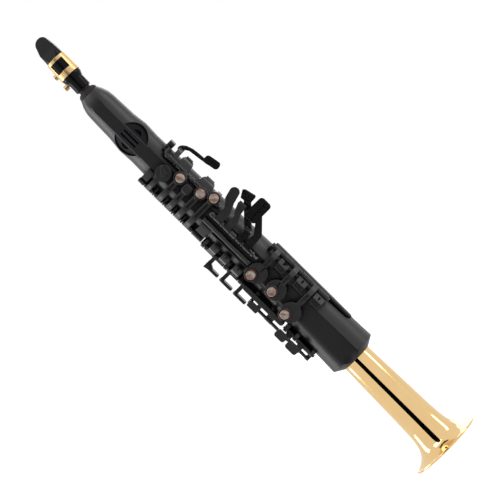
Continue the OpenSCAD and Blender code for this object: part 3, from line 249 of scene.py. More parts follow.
card_mesh = bpy.data.meshes.new("dark_strip")
strip_edges = (STRIP_TURN - STRIP_HALF, STRIP_TURN + STRIP_HALF)
card_mesh.from_pydata(
    [(math.sin(edge) * out, -math.cos(edge) * out, up)
     for out, up in ((STRIP_OUT, STRIP_TOP), (STRIP_OUT, 0), (STRIP_IN, 0))
     for edge in strip_edges],
    [], [(0, 1, 3, 2), (2, 3, 5, 4)])
card = in_scene("dark_strip", card_mesh)
velvet, vt = empty_material("black_velvet_strip")
soot = add(vt, "ShaderNodeBsdfDiffuse", {"Color": (0.0, 0.0, 0.0, 1)})
add(vt, "ShaderNodeOutputMaterial", {"Surface": soot.outputs[0]})
card_mesh.materials.append(velvet)
card.visible_camera = False
card.visible_diffuse = False
card.visible_transmission = False
card.visible_shadow = False
print("strip of", round(math.degrees(2 * STRIP_HALF)), "degrees")

# %% [markdown]
# ## Materials
# Every finish starts from the real stuff it stands for. A small function makes
# a material with one Principled shader and hands back the coordinates of the
# piece itself, so that each pattern stays on the part when it moves. A second
# one links what a pattern gives to the shader. The sizes of the patterns are
# real millimetres: a texture scale of 1000 gives one cell per millimetre.

# %% A new material


def new_material(name, **sockets):
    """A material with one Principled shader; values go straight on its sockets."""
    made, tree = empty_material(name)
    shader = add(tree, "ShaderNodeBsdfPrincipled")
    for socket, value in sockets.items():
        shader.inputs[socket.replace("_", " ")].default_value = value
    add(tree, "ShaderNodeOutputMaterial", {"Surface": shader.outputs[0]})
    spot = add(tree, "ShaderNodeTexCoord").outputs["Object"]
    print("material", name)
    return made, tree, shader, spot


def feed(shader, **outputs):
    """Links what other nodes give to the shader's sockets."""
    for socket, output in outputs.items():
        shader.id_data.links.new(output, shader.inputs[socket.replace("_", " ")])


def per_mm(cell):
    """Texture scale that makes one cell this many millimetres wide."""
    return 1 / (cell * MM)


# %% [markdown]
# ### Moulded ABS of the housing
# The housing is injection-moulded ABS from a spark-eroded mould: dark
# grey-black, matt, with a grain of about a third of a millimetre that breaks
# every highlight up. The grain is drawn at 0.45 mm so that it survives in the
# picture, and a slow change over some 60 mm stands for handling. Ambient
# occlusion lowers the specular level in corners and in the narrow gaps between
# keys: this is painted shade, for the darker mirror image of the black parts
# close by.

# %% Spark-textured ABS
abs_matt, tree, shader, spot = new_material(
    "spark_textured_abs", IOR=1.54, Specular_IOR_Level=0.5)
# Painted shade: ambient occlusion lowers the specular level in corners and gaps.
corners = add(tree, "ShaderNodeAmbientOcclusion", {"Distance": 11 * MM}, samples=6)
painted_corner_shade = add(tree, "ShaderNodeMapRange", {
    "Value": corners.outputs["AO"], "From Min": 0.4, "From Max": 0.9,
    "To Min": 0.08, "To Max": 0.5})
grain = add(tree, "ShaderNodeTexVoronoi", {
    "Vector": spot, "Scale": per_mm(0.45)}, feature="SMOOTH_F1")
speck = add(tree, "ShaderNodeTexNoise", {"Vector": spot, "Scale": per_mm(0.9), "Detail": 4.0})
handling = add(tree, "ShaderNodeTexNoise", {"Vector": spot, "Scale": per_mm(60), "Detail": 3.0})
tone = add(tree, "ShaderNodeMix", {
    0: speck.outputs["Fac"], 6: paint("121014"), 7: paint("1c1a1f")}, data_type="RGBA")
shine = add(tree, "ShaderNodeMapRange", {
    "Value": handling.outputs["Fac"], "To Min": 0.34, "To Max": 0.44})
relief = add(tree, "ShaderNodeBump", {
    "Height": grain.outputs["Distance"], "Strength": 0.12, "Distance": 0.06 * MM})
feed(shader, Base_Color=tone.outputs[2], Roughness=shine.outputs[0], Normal=relief.outputs[0],
     Specular_IOR_Level=painted_corner_shade.outputs[0])

# %% [markdown]
# ### Polished ABS
# The strip along the right side is the same plastic from a polished mould. It
# is smooth, with a faint waviness of some 12 mm from the moulding and fine
# scratches from cleaning. Its mirror image of the white studio would turn it
# grey, so its specular level is kept low and it stays black.

# %% Polished ABS
abs_gloss, tree, shader, spot = new_material(
    "polished_abs", IOR=1.54, Specular_IOR_Level=0.03, Base_Color=paint("080708"))
wave = add(tree, "ShaderNodeTexNoise", {"Vector": spot, "Scale": per_mm(12), "Detail": 1.0})
fine = add(tree, "ShaderNodeTexNoise", {"Vector": spot, "Scale": per_mm(1.2), "Detail": 6.0})
shine = add(tree, "ShaderNodeMapRange", {
    "Value": fine.outputs["Fac"], "To Min": 0.16, "To Max": 0.3})
relief = add(tree, "ShaderNodeBump", {
    "Height": wave.outputs["Fac"], "Strength": 0.12, "Distance": 0.4 * MM})
feed(shader, Roughness=shine.outputs[0], Normal=relief.outputs[0])

# %% [markdown]
# ### Painted keys
# Arms, cups and barrels are die-cast and coated in satin black. The coat is
# smoother than the housing and shows a slightly lighter tone where it lies
# thin, with an orange-peel relief of about 0.8 mm. Ambient occlusion lowers the
# specular level in the corners, as on the housing: this is painted shade.

# %% Satin coated keys
key_satin, tree, shader, spot = new_material("satin_key_coating", IOR=1.5)
# Painted shade: ambient occlusion lowers the specular level in the corners.
corners = add(tree, "ShaderNodeAmbientOcclusion", {"Distance": 8 * MM}, samples=6)
painted_corner_shade = add(tree, "ShaderNodeMapRange", {
    "Value": corners.outputs["AO"], "From Min": 0.45, "From Max": 0.85,
    "To Min": 0.04, "To Max": 0.65})
peel = add(tree, "ShaderNodeTexNoise", {"Vector": spot, "Scale": per_mm(0.8), "Detail": 2.0})
drift = add(tree, "ShaderNodeTexNoise", {"Vector": spot, "Scale": per_mm(9), "Detail": 4.0})
tone = add(tree, "ShaderNodeMix", {
    0: drift.outputs["Fac"], 6: paint("1e1d20"), 7: paint("2c2b2f")}, data_type="RGBA")
shine = add(tree, "ShaderNodeMapRange", {
    "Value": drift.outputs["Fac"], "To Min": 0.32, "To Max": 0.44})
relief = add(tree, "ShaderNodeBump", {
    "Height": peel.outputs["Fac"], "Strength": 0.1, "Distance": 0.05 * MM})
feed(shader, Base_Color=tone.outputs[2], Roughness=shine.outputs[0], Normal=relief.outputs[0],
     Specular_IOR_Level=painted_corner_shade.outputs[0])

# %% [markdown]
# ### Moulded touches
# The palm, side and thumb touches and the lowest two little-finger touches are
# moulded nylon. Fingers polish it, so it is blacker and glossier than the
# arms, with soft smears some 6 mm long.

# %% Polished nylon touches
touch_nylon, tree, shader, spot = new_material("finger_polished_nylon", IOR=1.53)
smear = add(tree, "ShaderNodeTexNoise", {
    "Vector": spot, "Scale": per_mm(6), "Detail": 5.0, "Distortion": 0.8})
tone = add(tree, "ShaderNodeMix", {
    0: smear.outputs["Fac"], 6: paint("121214"), 7: paint("1c1c1f")}, data_type="RGBA")
shine = add(tree, "ShaderNodeMapRange", {
    "Value": smear.outputs["Fac"], "To Min": 0.2, "To Max": 0.32})
feed(shader, Base_Color=tone.outputs[2], Roughness=shine.outputs[0])

# %% [markdown]
# ### Imitation mother-of-pearl
# The six finger pearls are cast acrylic with pearl pigment. The pigment lies in
# wavy bands some millimetres wide, pinkish where they face the light and tan
# where they turn away, under a clear polished surface that lets a little light
# in. A wave texture, strongly distorted, draws such bands.

# %% Pearl acrylic
pearl_acrylic, tree, shader, spot = new_material(
    "pearl_acrylic", Roughness=0.18, IOR=1.49, Coat_Weight=1.0, Coat_Roughness=0.04,
    Subsurface_Weight=0.15, Subsurface_Radius=(0.002, 0.0012, 0.0009), Subsurface_Scale=0.5)
bands = add(tree, "ShaderNodeTexWave", {
    "Vector": spot, "Scale": per_mm(20), "Distortion": 7.0, "Detail": 3.0, "Detail Scale": 1.6},
    wave_type="BANDS", bands_direction="DIAGONAL")
ramp = add(tree, "ShaderNodeValToRGB", {"Fac": bands.outputs["Fac"]})
ramp.color_ramp.elements[0].color = paint("cfa48c")
ramp.color_ramp.elements[1].color = paint("fff2ea")
ramp.color_ramp.elements.new(0.55).color = paint("f0d2c2")
feed(shader, Base_Color=ramp.outputs[0])

# %% [markdown]
# ### Gold lacquered brass
# The bell is polished brass under gold lacquer. Brass itself is the base, a
# clear coat is the lacquer, and fine rings from spinning the bell stretch the
# highlights around it. The rings are about 0.4 mm apart: a noise texture that
# is squeezed across the axis draws them.

# %% Lacquered brass
brass, tree, shader, spot = new_material(
    "gold_lacquered_brass", Metallic=1.0, Coat_Weight=0.15, Coat_Roughness=0.03)
stretch = add(tree, "ShaderNodeMapping", {"Vector": spot, "Scale": (0.05, 0.05, 1.0)})
rings = add(tree, "ShaderNodeTexNoise", {
    "Vector": stretch.outputs[0], "Scale": per_mm(0.4), "Detail": 3.0})
tarnish = add(tree, "ShaderNodeTexNoise", {"Vector": spot, "Scale": per_mm(25), "Detail": 4.0})
tone = add(tree, "ShaderNodeMix", {
    0: tarnish.outputs["Fac"], 6: paint("e8c184"), 7: paint("f2d098")}, data_type="RGBA")
shine = add(tree, "ShaderNodeMapRange", {
    "Value": rings.outputs["Fac"], "To Min": 0.03, "To Max": 0.08})
relief = add(tree, "ShaderNodeBump", {
    "Height": rings.outputs["Fac"], "Strength": 0.03, "Distance": 0.02 * MM})
feed(shader, Base_Color=tone.outputs[2], Roughness=shine.outputs[0], Normal=relief.outputs[0])

# %% [markdown]
# ### Brushed brass of the ligature
# The ligature is cut from sheet and brushed across, so its mirror image of the
# studio is soft. The brush marks are some 0.2 mm wide and run round the band.
# They are drawn at 0.3 mm so that they show.

# %% Brushed brass
brushed_brass, tree, shader, spot = new_material(
    "brushed_lacquered_brass", Metallic=1.0, Anisotropic=0.4)
stretch = add(tree, "ShaderNodeMapping", {"Vector": spot, "Scale": (0.08, 0.08, 1.0)})
strokes = add(tree, "ShaderNodeTexNoise", {
    "Vector": stretch.outputs[0], "Scale": per_mm(0.3), "Detail": 3.0})
tone = add(tree, "ShaderNodeMix", {
    0: strokes.outputs["Fac"], 6: paint("cfa873"), 7: paint("e8c893")}, data_type="RGBA")
shine = add(tree, "ShaderNodeMapRange", {
    "Value": strokes.outputs["Fac"], "To Min": 0.26, "To Max": 0.38})
feed(shader, Base_Color=tone.outputs[2], Roughness=shine.outputs[0])

# %% [markdown]
# ### Speaker grille
# The two curved insets are pressed from perforated sheet and painted matt. The
# holes are 0.9 mm apart, too fine to see one by one, and swallow the light, so
# a regular cell texture darkens their place instead of thousands of holes.

# %% Perforated speaker grille
grille_paint, tree, shader, spot = new_material(
    "perforated_painted_sheet", Roughness=0.6, Specular_IOR_Level=0.12)
holes = add(tree, "ShaderNodeTexVoronoi", {
    "Vector": spot, "Scale": per_mm(0.9), "Randomness": 0.0})
rim = add(tree, "ShaderNodeMapRange", {
    "Value": holes.outputs["Distance"], "From Min": 0.2, "From Max": 0.4})
tone = add(tree, "ShaderNodeMix", {
    0: rim.outputs[0], 6: paint("050505"), 7: paint("1f1d22")}, data_type="RGBA")
feed(shader, Base_Color=tone.outputs[2])

# %% [markdown]
# ### The other metals
# Hinge rods and shell screws are blued steel, the ligature's thumb screws are
# bronze, the rings round the pearls a redder bronze, the strap ring is plated
# with nickel, and the battery cells are drawn steel cans. They differ in
# colour and in how smooth they are, and one function makes them all.

# %% Turned and plated metals


def turned_metal(name, dark, light, low, high, pitch):
    """Metal with tool marks this many millimetres apart, from smooth to rough."""
    made, tree, shader, spot = new_material(name, Metallic=1.0)
    marks = add(tree, "ShaderNodeTexNoise", {
        "Vector": spot, "Scale": per_mm(pitch), "Detail": 5.0, "Roughness": 0.7})
    tone = add(tree, "ShaderNodeMix", {
        0: marks.outputs["Fac"], 6: paint(dark), 7: paint(light)}, data_type="RGBA")
    shine = add(tree, "ShaderNodeMapRange", {
        "Value": marks.outputs["Fac"], "To Min": low, "To Max": high})
    relief = add(tree, "ShaderNodeBump", {
        "Height": marks.outputs["Fac"], "Strength": 0.08, "Distance": 0.03 * MM})
    feed(shader, Base_Color=tone.outputs[2], Roughness=shine.outputs[0], Normal=relief.outputs[0])
    return made


blued_steel = turned_metal("blued_steel", "4a4a50", "6e6e75", 0.22, 0.4, 0.5)
bronze = turned_metal("lacquered_bronze", "a8895a", "cdb38a", 0.2, 0.34, 0.6)
ring_bronze = turned_metal("reddish_bronze", "3e2a24", "5e4036", 0.2, 0.32, 0.5)
bright_steel = turned_metal("nickel_plated_steel", "b4b4b8", "d2d2d6", 0.1, 0.22, 0.8)
tin = turned_metal("drawn_steel_can", "8c9096", "b0b4b8", 0.25, 0.4, 0.3)

# %% [markdown]
# ### Ebonite
# The mouthpiece is black hard rubber, turned and then buffed. Buffing leaves a
# satin shine that changes a little every few millimetres.

# %% Buffed ebonite
ebonite, tree, shader, spot = new_material(
    "buffed_ebonite", IOR=1.6, Specular_IOR_Level=0.1, Base_Color=paint("0f0f11"))
buff = add(tree, "ShaderNodeTexNoise", {"Vector": spot, "Scale": per_mm(3), "Detail": 6.0})
shine = add(tree, "ShaderNodeMapRange", {
    "Value": buff.outputs["Fac"], "To Min": 0.2, "To Max": 0.32})
feed(shader, Roughness=shine.outputs[0])

# %% [markdown]
# ### Cork and cane
# The mouthpiece sits on a tenon wrapped in dark cork, whose grains are about
# 1.5 mm and matt. The reed is cane with fibres 0.3 mm apart along its length,
# drawn at 0.5 mm so that they show, and a soft sheen.

# %% Cork and cane
cork, tree, shader, spot = new_material("dark_cork", Roughness=0.8)
cells = add(tree, "ShaderNodeTexVoronoi", {"Vector": spot, "Scale": per_mm(1.5)})
tone = add(tree, "ShaderNodeMix", {
    0: cells.outputs["Distance"], 6: paint("242022"), 7: paint("3a3330")}, data_type="RGBA")
relief = add(tree, "ShaderNodeBump", {
    "Height": cells.outputs["Distance"], "Strength": 0.5, "Distance": 0.15 * MM})
feed(shader, Base_Color=tone.outputs[2], Normal=relief.outputs[0])

cane, tree, shader, spot = new_material("reed_cane", Roughness=0.5)
along = add(tree, "ShaderNodeMapping", {"Vector": spot, "Scale": (1.0, 1.0, 0.04)})
fibres = add(tree, "ShaderNodeTexNoise", {
    "Vector": along.outputs[0], "Scale": per_mm(0.5), "Detail": 4.0})
tone = add(tree, "ShaderNodeMix", {
    0: fibres.outputs["Fac"], 6: paint("dcc08a"), 7: paint("f4e2b8")}, data_type="RGBA")
feed(shader, Base_Color=tone.outputs[2])

# %% [markdown]
# ### Nylon and fibreglass inside
# The chassis is nylon filled with short glass fibres, which leave a pale, rough
# speckle of 0.7 mm. The board is woven fibreglass under a green solder mask:
# the weave shows through as small checks, and the copper below as paler areas.

# %% Chassis and board
nylon_grey, tree, shader, spot = new_material("glass_filled_nylon", IOR=1.53)
glass = add(tree, "ShaderNodeTexNoise", {"Vector": spot, "Scale": per_mm(0.7), "Detail": 5.0})
tone = add(tree, "ShaderNodeMix", {
    0: glass.outputs["Fac"], 6: paint("505258"), 7: paint("65676c")}, data_type="RGBA")
shine = add(tree, "ShaderNodeMapRange", {
    "Value": glass.outputs["Fac"], "To Min": 0.5, "To Max": 0.7})
feed(shader, Base_Color=tone.outputs[2], Roughness=shine.outputs[0])

board_green, tree, shader, spot = new_material(
    "solder_masked_fibreglass", Coat_Weight=0.5, Coat_Roughness=0.15)
weave = add(tree, "ShaderNodeTexChecker", {
    "Vector": spot, "Scale": per_mm(0.8), "Color1": paint("145038"), "Color2": paint("1c6145")})
tracks = add(tree, "ShaderNodeTexVoronoi", {
    "Vector": spot, "Scale": per_mm(3)}, distance="CHEBYCHEV")
tone = add(tree, "ShaderNodeMix", {
    0: tracks.outputs["Distance"], 6: weave.outputs["Color"], 7: paint("2a7a58")}, data_type="RGBA")
feed(shader, Base_Color=tone.outputs[2])

# %% [markdown]
# ### Window and buttons
# The display hides behind smoked acrylic, nearly black and glossy, with a film
# of dust that dulls it here and there. The buttons are silicone rubber, a grey
# that skin oils make slightly uneven.

# %% Smoked acrylic and rubber
smoked, tree, shader, spot = new_material(
    "smoked_acrylic", IOR=1.49, Coat_Weight=0.5, Coat_Roughness=0.03, Base_Color=paint("0c0c10"))
dust = add(tree, "ShaderNodeTexNoise", {"Vector": spot, "Scale": per_mm(2), "Detail": 6.0})
shine = add(tree, "ShaderNodeMapRange", {
    "Value": dust.outputs["Fac"], "To Min": 0.04, "To Max": 0.12})
feed(shader, Roughness=shine.outputs[0])

rubber, tree, shader, spot = new_material("silicone_rubber", IOR=1.42)
film = add(tree, "ShaderNodeTexNoise", {"Vector": spot, "Scale": per_mm(1.5), "Detail": 4.0})
tone = add(tree, "ShaderNodeMix", {
    0: film.outputs["Fac"], 6: paint("4a4a4e"), 7: paint("5c5c60")}, data_type="RGBA")
shine = add(tree, "ShaderNodeMapRange", {
    "Value": film.outputs["Fac"], "To Min": 0.5, "To Max": 0.65})
feed(shader, Base_Color=tone.outputs[2], Roughness=shine.outputs[0])

# %% [markdown]
# ## Finishes on the parts
# Each part of the construction model gets its finish by name, once. A part
# whose shape is right keeps its mesh, and one that is made again below takes
# the same finish.

# %% Give each part its finish
FINISHES = {
    abs_matt: ["front_shell", "rear_shell", "battery_cover", "port_panel"],
    grille_paint: ["speaker_grilles"],
    abs_gloss: ["side_cover"],
    key_satin: ["front_f_key", "b_key", "bis_key", "a_key", "g_key", "g_sharp_key", "c_sharp_key",
                "f_key", "e_key", "d_key", "high_fs_key", "low_eb_key", "low_c_key",
                "upper_key_frame", "palm_key_frame", "pinky_key_frame", "lower_key_frame"],
    touch_nylon: ["palm_d_key", "palm_eb_key", "palm_f_key", "low_b_key", "low_bb_key",
                  "side_e_key", "side_c_key", "side_bb_key", "octave_key", "thumb_rest",
                  "thumb_lever", "thumb_hook"],
    pearl_acrylic: ["b_pearl", "a_pearl", "g_pearl", "f_pearl", "e_pearl", "d_pearl"],
    brass: ["bell"],
    brushed_brass: ["ligature"],
    blued_steel: ["hinge_rods", "shell_screws", "hook_screw"],
    bronze: ["ligature_screw_upper", "ligature_screw_lower"],
    bright_steel: ["strap_ring"],
    tin: ["battery_cells"],
    ebonite: ["mouthpiece"],
    cork: ["neck_tenon"],
    cane: ["reed"],
    nylon_grey: ["inner_chassis", "speaker_unit"],
    board_green: ["main_board"],
    smoked: ["display_window"],
    rubber: ["button_up", "button_mode", "button_down"],
}
finish_of = {name: finish for finish, names in FINISHES.items() for name in names}
for name, finish in finish_of.items():
    slots = nodes[name].data.materials
    for index in range(len(slots)):
        slots[index] = finish
print(len(finish_of), "parts finished, none yet:", sorted(set(nodes) - set(finish_of)))

# %% [markdown]
# ## Rounded edges
# A moulded or cast key never has a knife edge: its edges are rounded by a few
# tenths of a millimetre, and that is where the light runs along it. The
# construction model is sharp, so a copy of each part gets a narrow bevel. The
# flat faces are joined first, because a bevel needs clean edges, and weighted
# normals keep them looking flat. A finger also likes a hollow to rest in, so
# the flat fronts of six keys are sunk by half a millimetre inside a rim.

# %% A clean copy with hollow touches
DISHED = ("g_sharp_key", "low_b_key", "low_bb_key", "c_sharp_key", "low_eb_key", "low_c_key")
DISH_AREA, DISH_RIM, DISH_DEPTH = 60, 1.2, 0.5
FACES_FRONT = -0.97
MERGE = 0.002 * MM
FLAT_WITHIN = math.radians(0.1)


def cleaned(node):
    """A copy of a part with its flat faces joined and its large fronts sunk."""
    part = bmesh.new()
    part.from_mesh(nodes[node].data)
    bmesh.ops.remove_doubles(part, verts=part.verts, dist=MERGE)
    bmesh.ops.dissolve_limit(part, angle_limit=FLAT_WITHIN, verts=part.verts, edges=part.edges)
    if node in DISHED:
        fronts = [face for face in part.faces
                  if face.normal.y < FACES_FRONT and face.calc_area() > DISH_AREA * MM * MM]
        for face in fronts:
            bmesh.ops.inset_region(part, faces=[face], thickness=DISH_RIM * MM,
                                   depth=-DISH_DEPTH * MM, use_even_offset=True)
        print(node, "gets", len(fronts), "dishes")
    return part


# %% [markdown]
# ### From bevel to piece
# A corner where several edges meet at odd angles can throw a bevel point far
# out, so every point that strays is drawn back to the surface it came from. A
# search tree over the sharp copy finds the nearest place on it. The finished
# piece then rides on its body and stands for the part.

# %% A copy with rounded edges
BEVEL_FROM = math.radians(32)
SHARP_FROM = math.radians(42)
BEVEL_STEPS = 2
STRAY_SHARE = 0.45

body_of = {name: body for body, names in frame["record"]["behaviour"]["bodies"].items()
           for name in names}


def settle(piece, node):
    """The finished piece stands for the CAD part and moves with its body."""
    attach(piece, body_of[node])
    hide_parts(node)


def plain_mesh(blank):
    """What an object's modifiers make, as a mesh of its own; the object goes."""
    blank_now = blank.evaluated_get(bpy.context.evaluated_depsgraph_get())
    mesh = bpy.data.meshes.new_from_object(blank_now)
    bpy.data.objects.remove(blank)
    return mesh


def soft_edged(node, width):
    """Rounds a part's edges by so many millimetres and counts the points drawn back."""
    part = cleaned(node)
    sharp_tree = BVHTree.FromBMesh(part)
    base = bpy.data.meshes.new(node + "_base")
    part.to_mesh(base)
    part.free()
    base.shade_smooth()
    rough = in_scene(node + "_base", base)
    bevel = rough.modifiers.new("round", "BEVEL")
    bevel.width = width * MM
    bevel.segments = BEVEL_STEPS
    bevel.limit_method = "ANGLE"
    bevel.angle_limit = BEVEL_FROM
    bevel.use_clamp_overlap = False
    mesh = plain_mesh(rough)
    strays = 0
    for vertex in mesh.vertices:
        nearest, _, _, gap = sharp_tree.find_nearest(vertex.co)
        if gap > STRAY_SHARE * width * MM:
            vertex.co = nearest
            strays += 1
    mesh.set_sharp_from_angle(angle=SHARP_FROM)
    mesh.materials.clear()
    mesh.materials.append(finish_of[node])
    piece = in_scene("soft_" + node, mesh)
    piece.modifiers.new("weigh", "WEIGHTED_NORMAL").keep_sharp = True
    settle(piece, node)
    return strays


# %% [markdown]
# ### Which edges get how much
# The big stack keys are cast and the most rounded, the frames and fittings are
# crisp, and the shells of the housing meet in a fine seam. Two keys have edges
# that meet at narrow angles, and take only a fifth of a millimetre.

# %% Round the keys and fittings
EDGES = {
    0.8: ["b_key", "bis_key", "a_key", "g_key"],
    0.5: ["front_f_key", "g_sharp_key", "c_sharp_key", "e_key", "d_key", "high_fs_key",
          "mouthpiece"],
    0.35: ["upper_key_frame", "palm_key_frame", "pinky_key_frame", "lower_key_frame", "ligature",
           "strap_ring", "hook_screw", "ligature_screw_upper", "ligature_screw_lower",
           "display_window", "port_panel"],
    0.6: ["palm_d_key", "palm_eb_key", "low_b_key", "low_bb_key", "side_e_key", "side_c_key",
          "side_bb_key", "low_eb_key", "low_c_key", "octave_key", "thumb_rest", "thumb_lever",
          "thumb_hook", "side_cover"],
    0.2: ["f_key", "palm_f_key"],
    0.3: ["front_shell", "rear_shell", "battery_cover", "button_up", "button_mode", "button_down",
          "speaker_grilles"],
}
for width, names in EDGES.items():
    drawn_back = {name: soft_edged(name, width) for name in names}
    print("edges of", width, "mm, points drawn back:", drawn_back)

# %% [markdown]
# ## The bell and the pearls are turned
# A bell is spun on a lathe and a pearl is turned, so both come from one
# Geometry Nodes tree that works as a lathe. It takes half a cross-section as a
# loop of points, lays out a grid with one column for each step of the turn,
# puts every grid point on its point of the loop, and swings it round the axis.
# Merging the seam closes the piece.

# %% The lathe tree
STEPS, POINTS, COAT = "Steps round the axis", "Points in the loop", "Finish"


def new_tree(name, sockets):
    """An empty Geometry Nodes tree with the given inputs, and its group input."""
    group = bpy.data.node_groups.new(name, "GeometryNodeTree")
    group.interface.new_socket("Geometry", in_out="INPUT", socket_type="NodeSocketGeometry")
    for label, kind in sockets.items():
        group.interface.new_socket(label, in_out="INPUT", socket_type="NodeSocket" + kind)
    group.interface.new_socket("Geometry", in_out="OUTPUT", socket_type="NodeSocketGeometry")
    return group, add(group, "NodeGroupInput")


def close_tree(group, result, finish):
    """Every tree ends the same way: real meshes with a finish."""
    real = add(group, "GeometryNodeRealizeInstances", {"Geometry": result})
    coated = add(group, "GeometryNodeSetMaterial", {
        "Geometry": real.outputs[0], "Material": finish})
    add(group, "NodeGroupOutput", {"Geometry": coated.outputs[0]})
    print("tree", group.name, "with", len(group.nodes), "nodes")


lathe, given = new_tree("lathe", {STEPS: "Int", POINTS: "Int", COAT: "Material"})
steps, loop, finish = (given.outputs[label] for label in (STEPS, POINTS, COAT))
columns = add(lathe, "ShaderNodeMath", {0: steps, 1: 1.0}, operation="ADD")
rows = add(lathe, "ShaderNodeMath", {0: loop, 1: 1.0}, operation="ADD")
sheet = add(lathe, "GeometryNodeMeshGrid", {
    "Vertices X": columns.outputs[0], "Vertices Y": rows.outputs[0]})
index = add(lathe, "GeometryNodeInputIndex")
column = add(lathe, "ShaderNodeMath", {0: index.outputs[0], 1: rows.outputs[0]}, operation="DIVIDE")
column = add(lathe, "ShaderNodeMath", {0: column.outputs[0]}, operation="FLOOR")
row = add(lathe, "ShaderNodeMath", {0: index.outputs[0], 1: rows.outputs[0]}, operation="MODULO")
row = add(lathe, "ShaderNodeMath", {0: row.outputs[0], 1: loop}, operation="MODULO")
part_turn = add(lathe, "ShaderNodeMath", {0: column.outputs[0], 1: steps}, operation="DIVIDE")
angle = add(lathe, "ShaderNodeMath", {0: part_turn.outputs[0], 1: math.tau}, operation="MULTIPLY")
where = add(lathe, "GeometryNodeInputPosition")
of_loop = add(lathe, "GeometryNodeSampleIndex", {
    "Geometry": given.outputs["Geometry"], "Value": where.outputs[0], "Index": row.outputs[0]},
    data_type="FLOAT_VECTOR", domain="POINT")
swung = add(lathe, "ShaderNodeVectorRotate", {
    "Vector": of_loop.outputs[0], "Angle": angle.outputs[0]}, rotation_type="Z_AXIS")
turned = add(lathe, "GeometryNodeSetPosition", {
    "Geometry": sheet.outputs["Mesh"], "Position": swung.outputs[0]})
closed = add(lathe, "GeometryNodeMergeByDistance", {
    "Geometry": turned.outputs[0], "Distance": MERGE})
smooth = add(lathe, "GeometryNodeSetShadeSmooth", {0: closed.outputs[0]})
close_tree(lathe, smooth.outputs[0], finish)

# %% [markdown]
# ### Working the lathe
# The tree runs as a modifier on a blank object that holds the section, its
# inputs are set by identifier, and the result becomes a plain mesh. At the
# axis the section's closing edge is left over as a bare wire and goes, and a
# negative volume tells that the faces point inwards and have to be turned.

# %% From a section to a mesh


def grown(name, blank_mesh, tree, values):
    """Runs a tree on a blank mesh and returns what it makes as a plain mesh."""
    blank = in_scene(name + "_blank", blank_mesh)
    machine = blank.modifiers.new("grow", "NODES")
    machine.node_group = tree
    for socket in tree.interface.items_tree:
        if socket.in_out == "INPUT" and socket.name in values:
            machine[socket.identifier] = values[socket.name]
    mesh = plain_mesh(blank)
    mesh.name = name
    return mesh


def turned_mesh(name, loop_mm, steps, finish):
    """A closed mesh turned from a loop of (radius, height) points in millimetres."""
    outline = bpy.data.meshes.new(name + "_loop")
    outline.from_pydata([(r * MM, 0, h * MM) for r, h in loop_mm],
                        [(i, (i + 1) % len(loop_mm)) for i in range(len(loop_mm))], [])
    mesh = grown(name, outline, lathe, {STEPS: steps, POINTS: len(loop_mm), COAT: finish})
    check = bmesh.new()
    check.from_mesh(mesh)
    wires = [edge for edge in check.edges if edge.is_wire]
    bmesh.ops.delete(check, geom=wires, context="EDGES")
    bmesh.ops.recalc_face_normals(check, faces=check.faces)
    if check.calc_volume(signed=True) < 0:
        bmesh.ops.reverse_faces(check, faces=check.faces)
    open_edges = sum(not edge.is_manifold for edge in check.edges)
    check.to_mesh(mesh)
    check.free()
    print(name, len(mesh.polygons), "faces,", open_edges, "open edges")
    return mesh


def finished(name, mesh, sharp_from=40):
    """An object in the scene for a mesh, with edges over this angle left sharp."""
    mesh.set_sharp_from_angle(angle=math.radians(sharp_from))
    return in_scene(name, mesh)


# %% [markdown]
# ### The bell
# The pipe widens slowly on its way down and then flares like an exponential
# horn, which is how such bells are drawn. The brass is about 1.1 mm thick and
# its edge is rolled over a wire into a bead, flat below so that it stands.

# %% Turn the bell
FOOT, PIPE_R, SPIGOT_TOP = 154.0, 19.55, 170.0
BRASS_T, BEAD_R, RIM_R, RIM_FLAT = 1.1, 1.6, 48.25, 0.3
TAPER, FLARE_Z, FLARE_RATE = 0.029, 2.0, 8.8
FLARE = RIM_R - BEAD_R - PIPE_R - TAPER * (FOOT - FLARE_Z)
WALL_LOW, WALL_SHORT = 0.9, 6.9
WALL_STEPS, WALL_CROWD, BEAD_STEPS, BELL_STEPS = 60, 2.2, 24, 144


def bell_wall(z, inside=0.0):
    """A point of the bell's wall, this far inside its outer face."""
    r = PIPE_R + TAPER * (FOOT - z) + FLARE * math.exp((FLARE_Z - z) / FLARE_RATE)
    lean = TAPER + FLARE / FLARE_RATE * math.exp((FLARE_Z - z) / FLARE_RATE)
    slant = math.hypot(1, lean)
    return (r - inside / slant, z - inside * lean / slant)


def angle_at(middle, point):
    """Direction from one point to another, in degrees."""
    return math.degrees(math.atan2(point[1] - middle[1], point[0] - middle[0]))


heights = [FLARE_Z + WALL_LOW + (FOOT - FLARE_Z - WALL_SHORT) * (i / WALL_STEPS) ** WALL_CROWD
           for i in range(WALL_STEPS + 1)]
outer = [bell_wall(z) for z in heights]
inner = [bell_wall(z, BRASS_T) for z in heights]
bead_at = (RIM_R - BEAD_R, BEAD_R - RIM_FLAT)
first = angle_at(bead_at, outer[0])
turn = (first - angle_at(bead_at, inner[0])) % 360
bead = []
for i in range(1, BEAD_STEPS):
    a = math.radians(first - turn * i / BEAD_STEPS)
    bead.append((bead_at[0] + BEAD_R * math.cos(a), max(0.0, bead_at[1] + BEAD_R * math.sin(a))))
loop_of_bell = ([(PIPE_R, SPIGOT_TOP), (PIPE_R, FOOT)] + outer[::-1] + bead + inner
                + [(PIPE_R - BRASS_T, FOOT), (PIPE_R - BRASS_T, SPIGOT_TOP)])
bell_mesh = turned_mesh("spun_bell", loop_of_bell, BELL_STEPS, brass)
settle(finished("spun_bell", bell_mesh, sharp_from=30), "bell")

# %% [markdown]
# ### Pearls in their rings
# A finger feels for a shallow dish with a rounded lip, so each pearl is turned
# with one, and a thin ring of reddish bronze holds it in its key. Pearl and
# ring are turned facing up and then laid on the front of their key.

